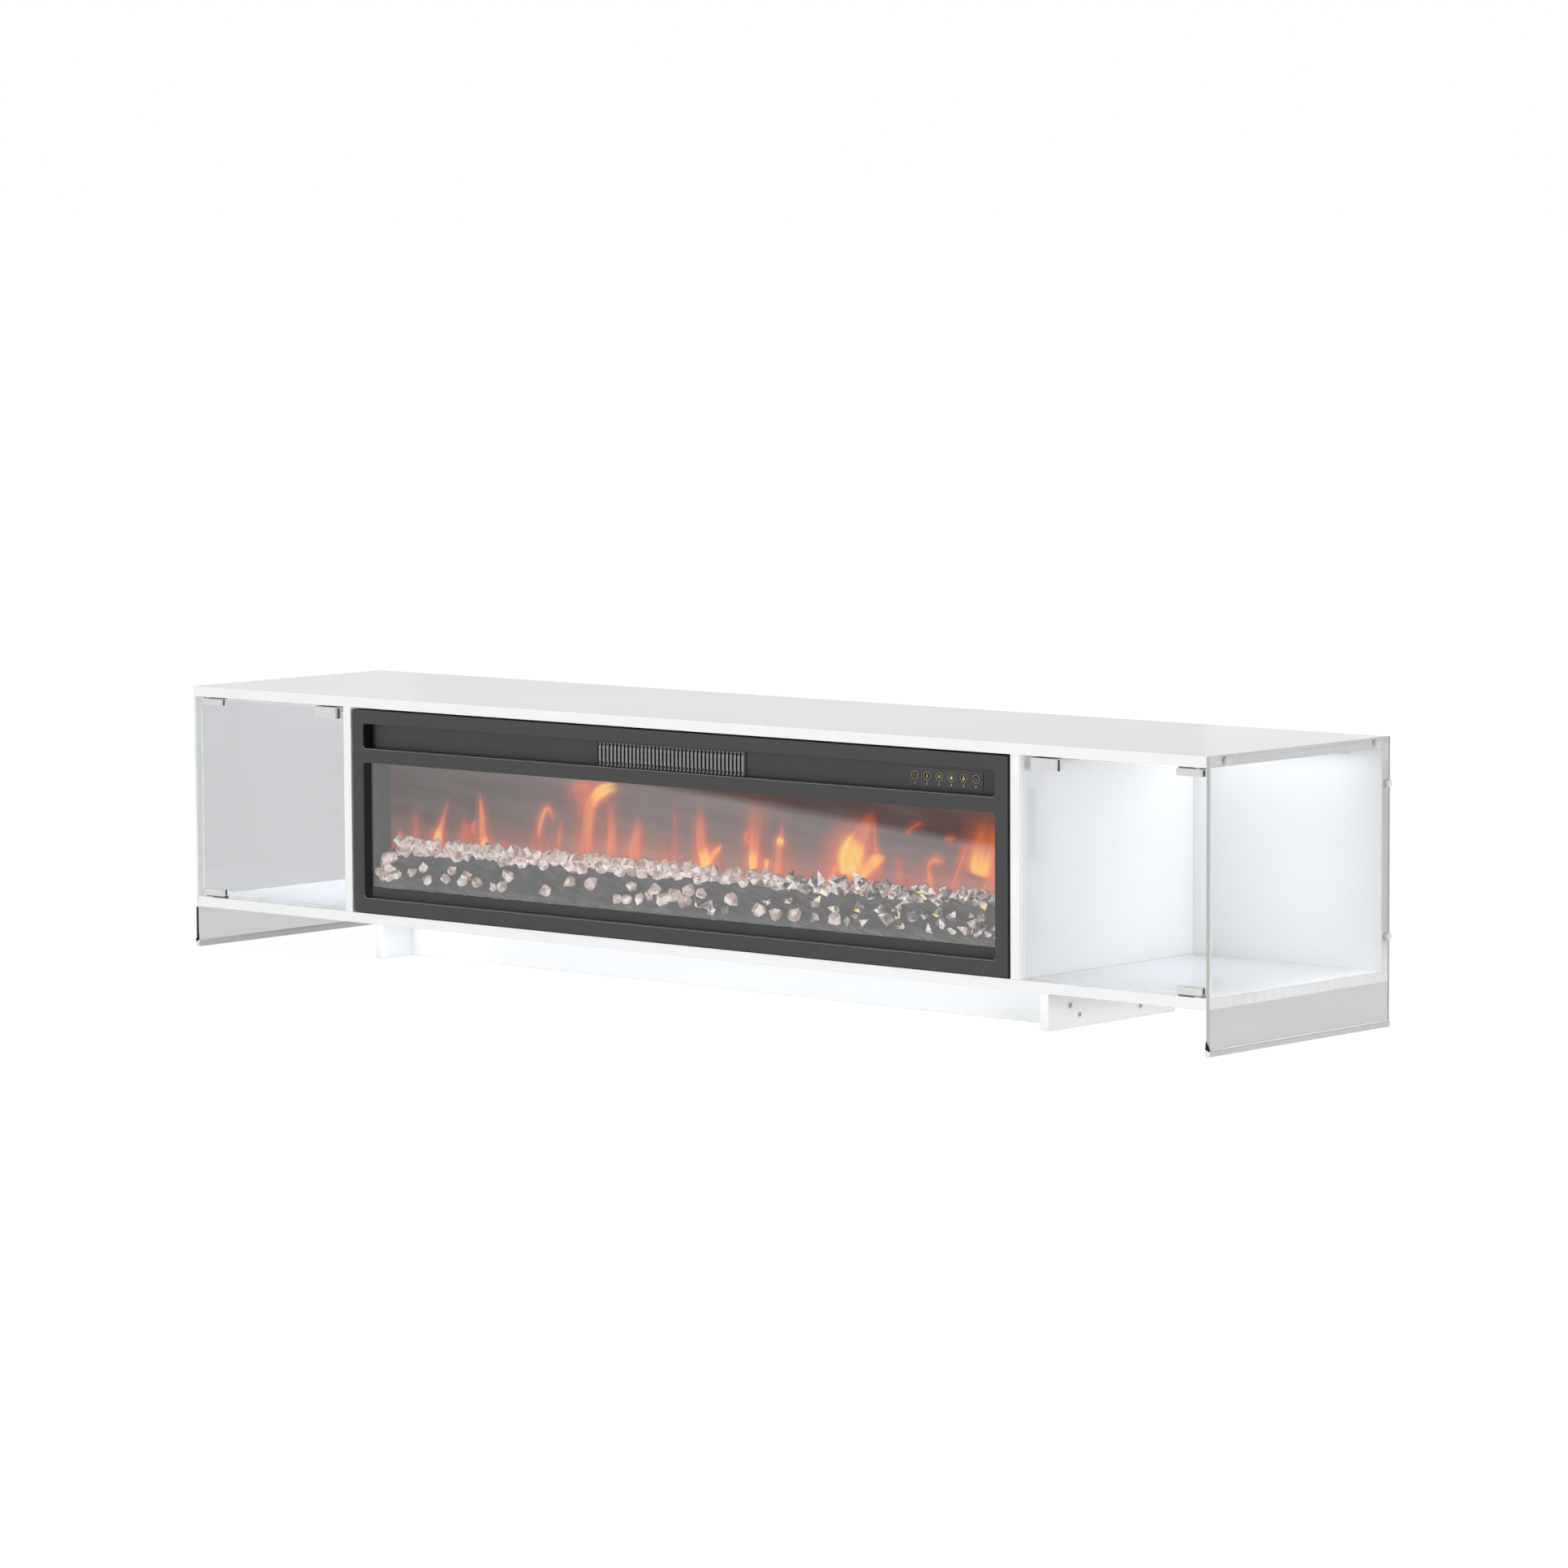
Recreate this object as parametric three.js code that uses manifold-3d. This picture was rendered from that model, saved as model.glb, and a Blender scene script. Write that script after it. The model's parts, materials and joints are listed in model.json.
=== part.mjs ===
// Fireplace TV stand: a white board cabinet with glass ends, two glass doors and an electric fireplace.
// Millimetres. X runs to the right, Y to the back and Z up.
// The origin is on the floor, at the middle of the length and of the depth.

import * as THREE from "three";
import { mergeVertices } from "three/addons/utils/BufferGeometryUtils.js";
import Module from "manifold-3d";

const wasm = await Module();
wasm.setup();

// Driving sizes of the cabinet
const unitLength = 1900;
const unitDepth = 390;
const unitHeight = 388;
const boardThick = 15;
const sideGlassThick = 5;
const legHeight = 60;
const fireOpening = 1237;

// Plinth under the bottom board
const plinthFrontSetback = 61;
const plinthRearSetback = 57;
const plinthFrontBoardShare = 0.226;
const plinthRearBoardShare = 0.25;

// Cable and air cut-out in the back board
const cutoutWidth = 360;
const cutoutHeight = 150;
const cutoutRadius = 20;

// Channels in which the end glasses stand
const channelHeight = 8;
const channelWall = 1.5;

// Cap screws that hold the end glasses
const capRadius = 5;
const capHeight = 6;
const capChamfer = 0.5;
const capShankRadius = 2.5;
const capGrip = 30;
const capEdgeInset = 33;
const capBackInset = 47;

// Doors
const doorGlassThick = 5;
const doorSetback = 7.5;
const doorInnerGap = 2;
const doorOuterGap = 3.5;
const doorEndGap = 3.75;

// Pivot hinges: a clamp with a pin on the door, a bushing in the board
const clampLength = 40;
const clampHeight = 10;
const clampPlate = 5.5;
const clampWeb = 1.25;
const clampOuterGap = 11;
const pinInset = 8;
const pinRadius = 3;
const pinReach = 8;
const pinCollarRadius = 4.5;
const bushingRadius = 5;
const bushingFlangeRadius = 7;
const bushingFlange = 1;
const bushingDepth = 11;

// Strike clips and push latches
const clipLength = 42;
const clipHeight = 17;
const clipInset = 16.5;
const latchWidth = 14;
const latchHeight = 11;
const latchLength = 40;
const latchGap = 6;
const plungerRadius = 3.5;
const plungerInside = 20;
const plungerTravel = 3;

// Lights under the top board
const ledWidth = 12;
const ledHeight = 7;
const ledEndGap = 25;
const ledBackGap = 35;

// Bezel of the fireplace
const bezelSideGap = 4.5;
const bezelTopGap = 2.75;
const bezelBottomGap = 1.5;
const bezelProud = 1;
const bezelDepth = 16;
const bezelSideBorder = 21.5;
const bezelTopBorder = 20;
const bezelBottomBorder = 20;
const bezelBevel = 1;
const bezelCorner = 2;
const slotHeight = 36.5;
const mullionHeight = 19.5;
const openingCorner = 4;

// Sheet-metal casing of the fireplace
const sheetThick = 1.5;
const shellSideGap = 5.5;
const shellTopGap = 8;
const shellDepth = 150;
const airInletWidth = 260;
const airInletHeight = 36;

// Control fascia, grille and touch panel
const fasciaLap = 10;
const grilleWidth = 277;
const grilleHeight = 34.5;
const grilleThick = 3;
const grilleRail = 2.5;
const grillePitch = 7.25;
const grilleBar = 4;
const ductLap = 5;
const panelWidth = 130;
const panelHeight = 23.5;
const panelThick = 1;
const panelEndInset = 32;

// Window, flame screen and crystals
const windowLap = 8;
const windowGlassThick = 4;
const trimHeight = 16;
const trimThick = 6;
const emberDepth = 56;
const screenThick = 3;
const trayThick = 2;
const trayLipDrop = 3;
const trayRearShare = 0.27;
const crystalBase = 4;
const crystalRadius = 9;
const crystalPitch = 42;
const crystalRows = 3;
const stoneSizeShare = 0.75;
const stoneDriftShare = 0.05;

// Flame drive: rotor with mirror flags, its motor, bearing and lamps
const rotorSetback = 32;
const rotorHeight = 60;
const rotorShaftRadius = 3;
const flagReach = 20;
const flagWidth = 26;
const flagThick = 1.2;
const flagPitch = 60;
const flagTurn = 2.4;
const rotorEndGap = 30;
const bearingThick = 8;
const bearingWall = 7;
const motorRadius = 18;
const motorLength = 24;
const socketDepth = 10;
const lampBoardWidth = 22;
const lampBoardThick = 1.6;
const lampBoardEndGap = 50;

// Hot-air duct with its heater and blower
const shelfGap = 0.75;
const ductWidth = 300;
const ductTopGap = 2;
const ductDepth = 130;
const heaterThick = 12;
const heaterSetback = 28;
const heaterRail = 4;
const heaterPitch = 9;
const heaterBar = 2;
const wheelRadius = 20;
const wheelLength = 240;
const wheelBlades = 16;
const bladeThick = 1;
const bladeDepth = 7;
const wheelDisc = 3;
const wheelSetback = 95;
const blowerMotorRadius = 22;
const blowerMotorLength = 28;

// Control board and mains gland
const boardWidth = 120;
const boardDepth = 70;
const boardSheet = 1.6;
const boardStand = 8;
const boardStandRadius = 3;
const boardSetback = 30;
const boardPartHeight = 18;
const glandRadius = 9;
const glandBoreRadius = 4.5;
const glandFlangeRadius = 14;
const glandFlange = 4;
const glandInset = 130;
const glandHeight = 40;

// Fits
const runningClearance = 0.1;
const seatClearance = 0.3;
const cutOverrun = 2;
const mergeTolerance = 1e-4;

// Counts of sides on round pieces
const fineSides = 24;
const smallSides = 16;
const cornerSteps = 5;

// Planes that the pieces share
const halfLength = unitLength / 2;
const boardHalf = halfLength - sideGlassThick;
const front = bezelProud - (unitDepth + bezelProud) / 2;
const back = front + unitDepth;
const backInner = back - boardThick;
const floorTop = legHeight + boardThick;
const ceiling = unitHeight - boardThick;
const bayHeight = ceiling - floorTop;
const dividerInner = fireOpening / 2;
const dividerOuter = dividerInner + boardThick;

// Colours and finishes
const finishes = {
  lacquer: { color: 0xf5f5f4, roughness: 0.35, metalness: 0 },
  clearGlass: { color: 0xdde6e2, roughness: 0.05, metalness: 0, transparent: true, opacity: 0.35 },
  satinSteel: { color: 0xc9cbcc, roughness: 0.35, metalness: 1 },
  charcoal: { color: 0x4d4d4d, roughness: 0.6, metalness: 0.1 },
  darkSheet: { color: 0x1e1e1f, roughness: 0.6, metalness: 0.3 },
  zincSheet: { color: 0x9fa3a6, roughness: 0.45, metalness: 1 },
  whitePlastic: { color: 0xe8e8e6, roughness: 0.5, metalness: 0 },
  blackPlastic: { color: 0x181818, roughness: 0.4, metalness: 0 },
  crystal: { color: 0xe9dcd8, roughness: 0.05, metalness: 0, transparent: true, opacity: 0.6 },
  frosted: { color: 0x6e6c6c, roughness: 0.7, metalness: 0, transparent: true, opacity: 0.8 },
  mirror: { color: 0xd8dadb, roughness: 0.1, metalness: 1 },
  circuitGreen: { color: 0x1f5b3a, roughness: 0.5, metalness: 0 },
};

// A mesh with a name, a shape and one of the finishes
function piece(name, geometry, finish) {
  const mesh = new THREE.Mesh(geometry, new THREE.MeshStandardMaterial(finishes[finish]));
  mesh.name = name;
  return mesh;
}

// A box between two planes on each axis, given in either order
function box(xs, ys, zs) {
  const geometry = new THREE.BoxGeometry();
  const at = geometry.attributes.position;
  const pick = (value, ends) => (value < 0 ? Math.min(...ends) : Math.max(...ends));
  for (let i = 0; i < at.count; i++) {
    at.setXYZ(i, pick(at.getX(i), xs), pick(at.getY(i), ys), pick(at.getZ(i), zs));
  }
  return geometry;
}

// Moves every corner of a geometry by a rule
function remap(geometry, rule) {
  const at = geometry.attributes.position;
  for (let i = 0; i < at.count; i++) {
    at.setXYZ(i, ...rule(at.getX(i), at.getY(i), at.getZ(i)));
  }
  return geometry;
}

// A round bar along x, y or z between two planes, about a centre in the other two directions
function rod(axis, radius, ends, centre, sides = smallSides) {
  const [low, high] = [Math.min(...ends), Math.max(...ends)];
  const bar = new THREE.CylinderGeometry(radius, radius, 1, sides);
  const along = (value) => (value < 0 ? low : high);
  const rules = {
    x: (a, h, b) => [along(h), b + centre[0], a + centre[1]],
    y: (a, h, b) => [a + centre[0], along(h), b + centre[1]],
    z: (a, h, b) => [b + centre[0], a + centre[1], along(h)],
  };
  return remap(bar, rules[axis]);
}

// A profile of [radius, height] points turned about x, y or z
function turned(axis, profile, sides = smallSides) {
  const points = profile.map(([radius, height]) => new THREE.Vector2(radius, height));
  const rules = {
    x: (a, h, b) => [h, b, a],
    y: (a, h, b) => [a, h, b],
    z: (a, h, b) => [b, a, h],
  };
  return remap(new THREE.LatheGeometry(points, sides), rules[axis]);
}

// An outline in the YZ plane run along x between two planes
function runAlongX(outline, xs) {
  const shape = new THREE.Shape(outline.map(([y, z]) => new THREE.Vector2(y, z)));
  const run = new THREE.ExtrudeGeometry(shape, { depth: 1, bevelEnabled: false });
  return remap(run, (y, z, step) => [step > 0 ? Math.max(...xs) : Math.min(...xs), y, z]);
}

// An outline in the XZ plane run along y between two planes
function runAlongY(shape, ys) {
  const run = new THREE.ExtrudeGeometry(shape, { depth: 1, bevelEnabled: false, curveSegments: cornerSteps });
  return remap(run, (x, z, step) => [x, step > 0 ? Math.min(...ys) : Math.max(...ys), z]);
}

// A rectangle with round corners, as a shape or as a hole
function roundedRectangle([x0, x1], [z0, z1], radius, Kind = THREE.Shape) {
  const path = new Kind();
  path.moveTo(x0 + radius, z0);
  path.lineTo(x1 - radius, z0);
  path.absarc(x1 - radius, z0 + radius, radius, -Math.PI / 2, 0, false);
  path.lineTo(x1, z1 - radius);
  path.absarc(x1 - radius, z1 - radius, radius, 0, Math.PI / 2, false);
  path.lineTo(x0 + radius, z1);
  path.absarc(x0 + radius, z1 - radius, radius, Math.PI / 2, Math.PI, false);
  path.lineTo(x0, z0 + radius);
  path.absarc(x0 + radius, z0 + radius, radius, Math.PI, 3 * Math.PI / 2, false);
  return path;
}

// The closed solid of a geometry, ready to join and cut
function solid(geometry) {
  const bare = geometry.clone();
  bare.deleteAttribute("normal");
  bare.deleteAttribute("uv");
  const merged = mergeVertices(bare, mergeTolerance);
  const corners = merged.index.array;
  const triangles = [];
  for (let i = 0; i < corners.length; i += 3) {
    const [a, b, c] = [corners[i], corners[i + 1], corners[i + 2]];
    if (a !== b && b !== c && c !== a) triangles.push(a, b, c);
  }
  const vertProperties = new Float32Array(merged.attributes.position.array);
  const triVerts = new Uint32Array(triangles);
  return new wasm.Manifold(new wasm.Mesh({ numProp: 3, vertProperties, triVerts }));
}

// The geometry of a joined or cut solid
function surface(body) {
  const mesh = body.getMesh();
  const geometry = new THREE.BufferGeometry();
  geometry.setAttribute("position", new THREE.BufferAttribute(new Float32Array(mesh.vertProperties), 3));
  geometry.setIndex(new THREE.BufferAttribute(new Uint32Array(mesh.triVerts), 1));
  geometry.computeVertexNormals();
  return geometry;
}

// A first geometry with others cut away
function cut(first, ...others) {
  return surface(others.reduce((body, other) => body.subtract(solid(other)), solid(first)));
}

// Several geometries joined into one
function join(first, ...others) {
  return surface(others.reduce((body, other) => body.add(solid(other)), solid(first)));
}

const sides = { left: -1, right: 1 };

// Where the four cap screws of an end glass sit, as [name, y, z]
function capPlaces() {
  const topMiddle = unitHeight - boardThick / 2;
  const backMiddle = back - boardThick / 2;
  return [
    ["top_front", front + capEdgeInset, topMiddle],
    ["top_rear", back - capEdgeInset, topMiddle],
    ["back_upper", backMiddle, ceiling - capBackInset],
    ["back_lower", backMiddle, floorTop + capBackInset],
  ];
}

// Bores for the cap screws, through a glass or into a board's end
function capBores(side, places, xs) {
  const radius = capShankRadius + seatClearance;
  return places.map(([, y, z]) => rod("x", radius, xs.map((x) => side * x), [y, z]));
}

// Bores into both ends of a board for the screws in it
function endBores(places) {
  const xs = [boardHalf - capGrip - seatClearance, boardHalf + cutOverrun];
  return Object.values(sides).flatMap((side) => capBores(side, places, xs));
}

// The pivot line of a door, in plan
const clampOuter = boardHalf - clampOuterGap;
const pivotX = clampOuter - pinInset;
const pivotY = front + doorSetback + doorGlassThick / 2;

// Blind bores for the two bushings in a board, from its bay face inward
function bushingBores(face, inward) {
  const depth = bushingDepth + seatClearance;
  const zs = [face - inward * cutOverrun, face + inward * depth];
  const radius = bushingRadius + seatClearance;
  return Object.values(sides).map((side) => rod("z", radius, zs, [side * pivotX, pivotY]));
}

// The white boards of the cabinet
function cabinetBoards() {
  const length = [-boardHalf, boardHalf];
  const depth = [front, back];
  const bay = [floorTop, ceiling];
  const places = capPlaces();
  const topBoard = box(length, depth, [ceiling, unitHeight]);
  const bottomBoard = box(length, depth, [legHeight, floorTop]);
  const backBoard = box(length, [backInner, back], bay);
  const cutoutMiddle = (floorTop + ceiling) / 2;
  const cutoutShape = roundedRectangle(
    [-cutoutWidth / 2, cutoutWidth / 2],
    [cutoutMiddle - cutoutHeight / 2, cutoutMiddle + cutoutHeight / 2],
    cutoutRadius,
  );
  const cutout = runAlongY(cutoutShape, [backInner - cutOverrun, back + cutOverrun]);
  const boards = [
    piece("top_panel", cut(topBoard, ...endBores(places.slice(0, 2)), ...bushingBores(ceiling, 1)), "lacquer"),
    piece("bottom_panel", cut(bottomBoard, ...bushingBores(floorTop, -1)), "lacquer"),
    piece("back_panel", cut(backBoard, cutout, ...endBores(places.slice(2))), "lacquer"),
  ];
  for (const [word, side] of Object.entries(sides)) {
    const divider = box([side * dividerInner, side * dividerOuter], [front, backInner], bay);
    boards.push(piece(`${word}_divider`, divider, "lacquer"));
  }
  return boards;
}

// The frame of four boards that stands on the floor under the dividers
function plinthBoards() {
  const height = [0, legHeight];
  const plinthFront = front + plinthFrontSetback;
  const plinthRear = back - plinthRearSetback;
  const plinthLength = plinthRear - plinthFront;
  const frontBoard = plinthFront + plinthLength * plinthFrontBoardShare;
  const rearBoard = plinthRear - plinthLength * plinthRearBoardShare;
  const across = [-dividerInner, dividerInner];
  const boards = [
    piece("plinth_front_board", box(across, [frontBoard, frontBoard + boardThick], height), "lacquer"),
    piece("plinth_rear_board", box(across, [rearBoard - boardThick, rearBoard], height), "lacquer"),
  ];
  for (const [word, side] of Object.entries(sides)) {
    const board = box([side * dividerInner, side * dividerOuter], [plinthFront, plinthRear], height);
    boards.push(piece(`plinth_${word}_board`, board, "lacquer"));
  }
  return boards;
}

// An end glass in its channel
function endGlass(word, side) {
  const pane = box([side * boardHalf, side * halfLength], [front, back], [channelWall, unitHeight]);
  const through = [boardHalf - cutOverrun, halfLength + cutOverrun];
  const glass = cut(pane, ...capBores(side, capPlaces(), through));
  const rail = box(
    [side * (boardHalf - channelWall), side * (halfLength + channelWall)],
    [front, back],
    [0, channelHeight],
  );
  const groove = box(
    [side * boardHalf, side * halfLength],
    [front - cutOverrun, back + cutOverrun],
    [channelWall, channelHeight + cutOverrun],
  );
  return [
    piece(`${word}_side_glass`, glass, "clearGlass"),
    piece(`${word}_foot_channel`, cut(rail, groove), "satinSteel"),
  ];
}

// The four cap screws of an end glass, heads on its outer face
function capScrews(word, side) {
  const tip = sideGlassThick + capGrip;
  const profile = [
    [0, -tip],
    [capShankRadius, -tip],
    [capShankRadius, 0],
    [capRadius, 0],
    [capRadius, capHeight - capChamfer],
    [capRadius - capChamfer, capHeight],
    [0, capHeight],
  ];
  return capPlaces().map(([place, y, z]) => {
    const outward = turned("x", profile);
    const screw = piece(`${word}_cap_screw_${place}`, outward, "satinSteel");
    screw.position.set(side * halfLength, y, z);
    if (side < 0) screw.rotation.z = Math.PI;
    return screw;
  });
}

// Planes of the doors, seen from the pivot line
const doorInnerEdge = pivotX - dividerOuter - doorInnerGap;
const doorOuterEdge = boardHalf - doorOuterGap - pivotX;
const doorBottom = floorTop + doorEndGap;
const doorTop = ceiling - doorEndGap;
const halfGlass = doorGlassThick / 2;

// A U-shaped fitting over an edge of a door's glass, its web on the edge at z and its plates towards inward
function edgeFitting(xs, edge, height, inward) {
  const outer = halfGlass + clampPlate;
  const web = edge - inward * clampWeb;
  const body = box(xs, [-outer, outer], [web, web + inward * height]);
  const slot = box(
    [Math.min(...xs) - cutOverrun, Math.max(...xs) + cutOverrun],
    [-halfGlass, halfGlass],
    [edge, web + inward * (height + cutOverrun)],
  );
  return cut(body, slot);
}

// A hinge clamp with its collar and pin, which points away from the glass
function hingeClamp(name, side, edge, inward) {
  const face = edge - inward * doorEndGap;
  const web = edge - inward * clampWeb;
  const flangeTop = face + inward * (bushingFlange + seatClearance);
  const xs = [side * (clampOuter - clampLength - pivotX), side * (clampOuter - pivotX)];
  const embed = inward * clampWeb / 2;
  const collar = rod("z", pinCollarRadius, [web + embed, flangeTop], [0, 0]);
  const pin = rod("z", pinRadius, [web + embed, face - inward * pinReach], [0, 0], fineSides);
  return piece(name, join(edgeFitting(xs, edge, clampHeight, inward), collar, pin), "satinSteel");
}

// A bushing in its board, flange on the bay face
function pivotBushing(name, side, face, inward) {
  const bore = pinRadius + runningClearance;
  const bottom = pinReach + seatClearance;
  const profile = [
    [0, -bushingDepth],
    [bushingRadius, -bushingDepth],
    [bushingRadius, 0],
    [bushingFlangeRadius, 0],
    [bushingFlangeRadius, bushingFlange],
    [bore, bushingFlange],
    [bore, -bottom],
    [0, -bottom],
  ];
  const bushing = piece(name, turned("z", profile, fineSides), "satinSteel");
  bushing.position.set(side * pivotX, pivotY, face);
  if (inward < 0) bushing.rotation.x = Math.PI;
  return bushing;
}

// Places of a strike clip and its latch, as distances from the middle of the unit
const clipNear = dividerOuter + doorInnerGap + clipInset;
const clipMiddle = clipNear + clipLength / 2;
const clipBack = front + doorSetback + doorGlassThick + clampPlate;
const latchFront = clipBack + latchGap;
const plungerHeight = ceiling - latchHeight / 2;

// A door with its fittings, in a group that stands on the pivot line
function door(word, side) {
  const group = new THREE.Group();
  group.position.set(side * pivotX, pivotY, 0);
  const pane = box([-side * doorInnerEdge, side * doorOuterEdge], [-halfGlass, halfGlass], [doorBottom, doorTop]);
  const clipXs = [side * (clipNear - pivotX), side * (clipNear + clipLength - pivotX)];
  const clip = edgeFitting(clipXs, doorTop, clipHeight, -1);
  group.add(
    piece(`${word}_door_glass`, pane, "clearGlass"),
    hingeClamp(`${word}_upper_hinge_clamp`, side, doorTop, -1),
    hingeClamp(`${word}_lower_hinge_clamp`, side, doorBottom, 1),
    piece(`${word}_strike_clip`, clip, "satinSteel"),
  );
  return group;
}

// The latch body with its bore, and the spring plunger that faces the strike clip
function pushLatch(word, side) {
  const middle = side * clipMiddle;
  const boreDepth = plungerInside + plungerTravel + seatClearance;
  const casing = box(
    [middle - latchWidth / 2, middle + latchWidth / 2],
    [latchFront, latchFront + latchLength],
    [ceiling - latchHeight, ceiling],
  );
  const boreRadius = plungerRadius + seatClearance;
  const bore = rod("y", boreRadius, [latchFront - cutOverrun, latchFront + boreDepth], [middle, plungerHeight]);
  const tip = seatClearance - latchGap;
  const plunger = piece(`${word}_latch_plunger`, rod("y", plungerRadius, [tip, plungerInside], [0, 0]), "satinSteel");
  plunger.position.set(middle, latchFront, plungerHeight);
  return [piece(`${word}_latch_body`, cut(casing, bore), "whitePlastic"), plunger];
}

// The light of a side bay, along the back under the top board
function ledStrip(word, side) {
  const xs = [side * (dividerOuter + ledEndGap), side * (boardHalf - ledEndGap)];
  const rear = backInner - ledBackGap;
  return piece(`${word}_led_strip`, box(xs, [rear - ledWidth, rear], [ceiling - ledHeight, ceiling]), "whitePlastic");
}

// Planes of the fireplace in its own group: y from the cabinet's front, z from the bottom board
const bezelHalf = dividerInner - bezelSideGap;
const bezelBottom = bezelBottomGap;
const bezelTop = bayHeight - bezelTopGap;
const bezelRear = bezelDepth - bezelProud;
const openHalf = bezelHalf - bezelSideBorder;
const slotTop = bezelTop - bezelTopBorder;
const slotBottom = slotTop - slotHeight;
const windowTop = slotBottom - mullionHeight;
const windowBottom = bezelBottom + bezelBottomBorder;
const shellHalf = dividerInner - shellSideGap;
const shellTop = bayHeight - shellTopGap;
const shellRear = bezelRear + shellDepth;
const innerHalf = shellHalf - sheetThick;
const innerTop = shellTop - sheetThick;
const innerRear = shellRear - sheetThick;
const glassRear = bezelRear + windowGlassThick;
const glassTop = windowTop + windowLap;
const trimTop = windowBottom + trimHeight;
const trimRear = bezelRear + trimThick;
const screenFront = glassRear + emberDepth;
const screenRear = screenFront + screenThick;
const shelfBottom = glassTop + shelfGap;
const shelfTop = shelfBottom + sheetThick;
const fasciaRear = bezelRear + sheetThick;
const slotMiddle = (slotTop + slotBottom) / 2;

// The bezel: one moulded frame with bevelled edges round the slot and the window
function frontBezel() {
  const outline = roundedRectangle([-bezelHalf, bezelHalf], [bezelBottom, bezelTop], bezelCorner);
  const across = [-openHalf, openHalf];
  outline.holes.push(roundedRectangle(across, [slotBottom, slotTop], openingCorner, THREE.Path));
  outline.holes.push(roundedRectangle(across, [windowBottom, windowTop], openingCorner, THREE.Path));
  const frame = new THREE.ExtrudeGeometry(outline, {
    depth: bezelDepth - bezelBevel - bezelBevel,
    bevelThickness: bezelBevel,
    bevelSize: bezelBevel,
    bevelOffset: -bezelBevel,
    bevelSegments: 1,
    curveSegments: cornerSteps,
  });
  const rearFace = bezelRear - bezelBevel;
  return piece("front_bezel", remap(frame, (x, z, depth) => [x, rearFace - depth, z]), "charcoal");
}

// The casing: a sheet box open at the front, with an air inlet and a hole for the gland at the rear
function fireboxShell() {
  const outside = box([-shellHalf, shellHalf], [bezelRear, shellRear], [0, shellTop]);
  const inside = box([-innerHalf, innerHalf], [bezelRear - cutOverrun, innerRear], [sheetThick, innerTop]);
  const inletMiddle = (shelfTop + innerTop) / 2;
  const inlet = box(
    [-airInletWidth / 2, airInletWidth / 2],
    [innerRear - cutOverrun, shellRear + cutOverrun],
    [inletMiddle - airInletHeight / 2, inletMiddle + airInletHeight / 2],
  );
  const rearHole = [innerRear - cutOverrun, shellRear + cutOverrun];
  const gland = rod("y", glandRadius + seatClearance, rearHole, [glandInset - innerHalf, glandHeight]);
  return piece("firebox_shell", cut(outside, inside, inlet, gland), "darkSheet");
}

// A flat panel of upright bars between two rails
function barPanel(half, ys, zs, rail, pitch, bar) {
  const [low, high] = zs;
  const parts = [
    box([-half, half], ys, [low, low + rail]),
    box([-half, half], ys, [high - rail, high]),
    box([-half, rail - half], ys, zs),
    box([half - rail, half], ys, zs),
  ];
  const count = Math.floor((half + half - rail - rail) / pitch) - 1;
  for (let i = 0; i < count; i++) {
    const middle = (i - (count - 1) / 2) * pitch;
    parts.push(box([middle - bar / 2, middle + bar / 2], ys, zs));
  }
  return join(...parts);
}

// The recessed fascia, the grille on it and the touch panel
function controlStrip() {
  const fasciaHalf = openHalf + fasciaLap;
  const sheet = box([-fasciaHalf, fasciaHalf], [bezelRear, fasciaRear], [slotBottom - fasciaLap, slotTop + fasciaLap]);
  const grilleHalf = grilleWidth / 2;
  const grilleLow = slotMiddle - grilleHeight / 2;
  const grilleHigh = slotMiddle + grilleHeight / 2;
  const duct = box(
    [ductLap - grilleHalf, grilleHalf - ductLap],
    [bezelRear - cutOverrun, fasciaRear + cutOverrun],
    [grilleLow + ductLap, grilleHigh - ductLap],
  );
  const grilleYs = [bezelRear - grilleThick, bezelRear];
  const bars = barPanel(grilleHalf, grilleYs, [grilleLow, grilleHigh], grilleRail, grillePitch, grilleBar);
  const panelEnd = openHalf - panelEndInset;
  const panel = box(
    [panelEnd - panelWidth, panelEnd],
    [bezelRear - panelThick, bezelRear],
    [slotMiddle - panelHeight / 2, slotMiddle + panelHeight / 2],
  );
  return [
    piece("control_fascia", cut(sheet, duct), "charcoal"),
    piece("heater_grille", bars, "charcoal"),
    piece("touch_panel", panel, "blackPlastic"),
  ];
}

// The window pane and the strip that it stands on
function windowPieces() {
  const half = openHalf + windowLap;
  const pane = box([-half, half], [bezelRear, glassRear], [trimTop, glassTop]);
  const strip = box([-half, half], [bezelRear, trimRear], [windowBottom - windowLap, trimTop]);
  return [piece("window_glass", pane, "clearGlass"), piece("window_trim", strip, "darkSheet")];
}

// Slope of the tray between its lip behind the trim and its rear edge at the flame screen
const trayLip = trimTop - trayLipDrop;
const trayRear = windowBottom + (windowTop - windowBottom) * trayRearShare;
const slopeRun = screenFront - trimRear;
const slopeAt = (y) => trayLip + (trayRear - trayLip) * (y - trimRear) / slopeRun;
const slopeStretch = Math.hypot(trayRear - trayLip, slopeRun) / slopeRun;

// The folded tray: an upright front leg on the floor of the casing and a slope up to the screen
function emberTray() {
  const outline = [
    [trimRear, sheetThick],
    [trimRear + trayThick, sheetThick],
    [trimRear + trayThick, slopeAt(trimRear + trayThick) - trayThick],
    [screenFront, trayRear - trayThick],
    [screenFront, trayRear],
    [trimRear, trayLip],
  ];
  return piece("ember_tray", runAlongX(outline, [-innerHalf, innerHalf]), "darkSheet");
}

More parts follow.
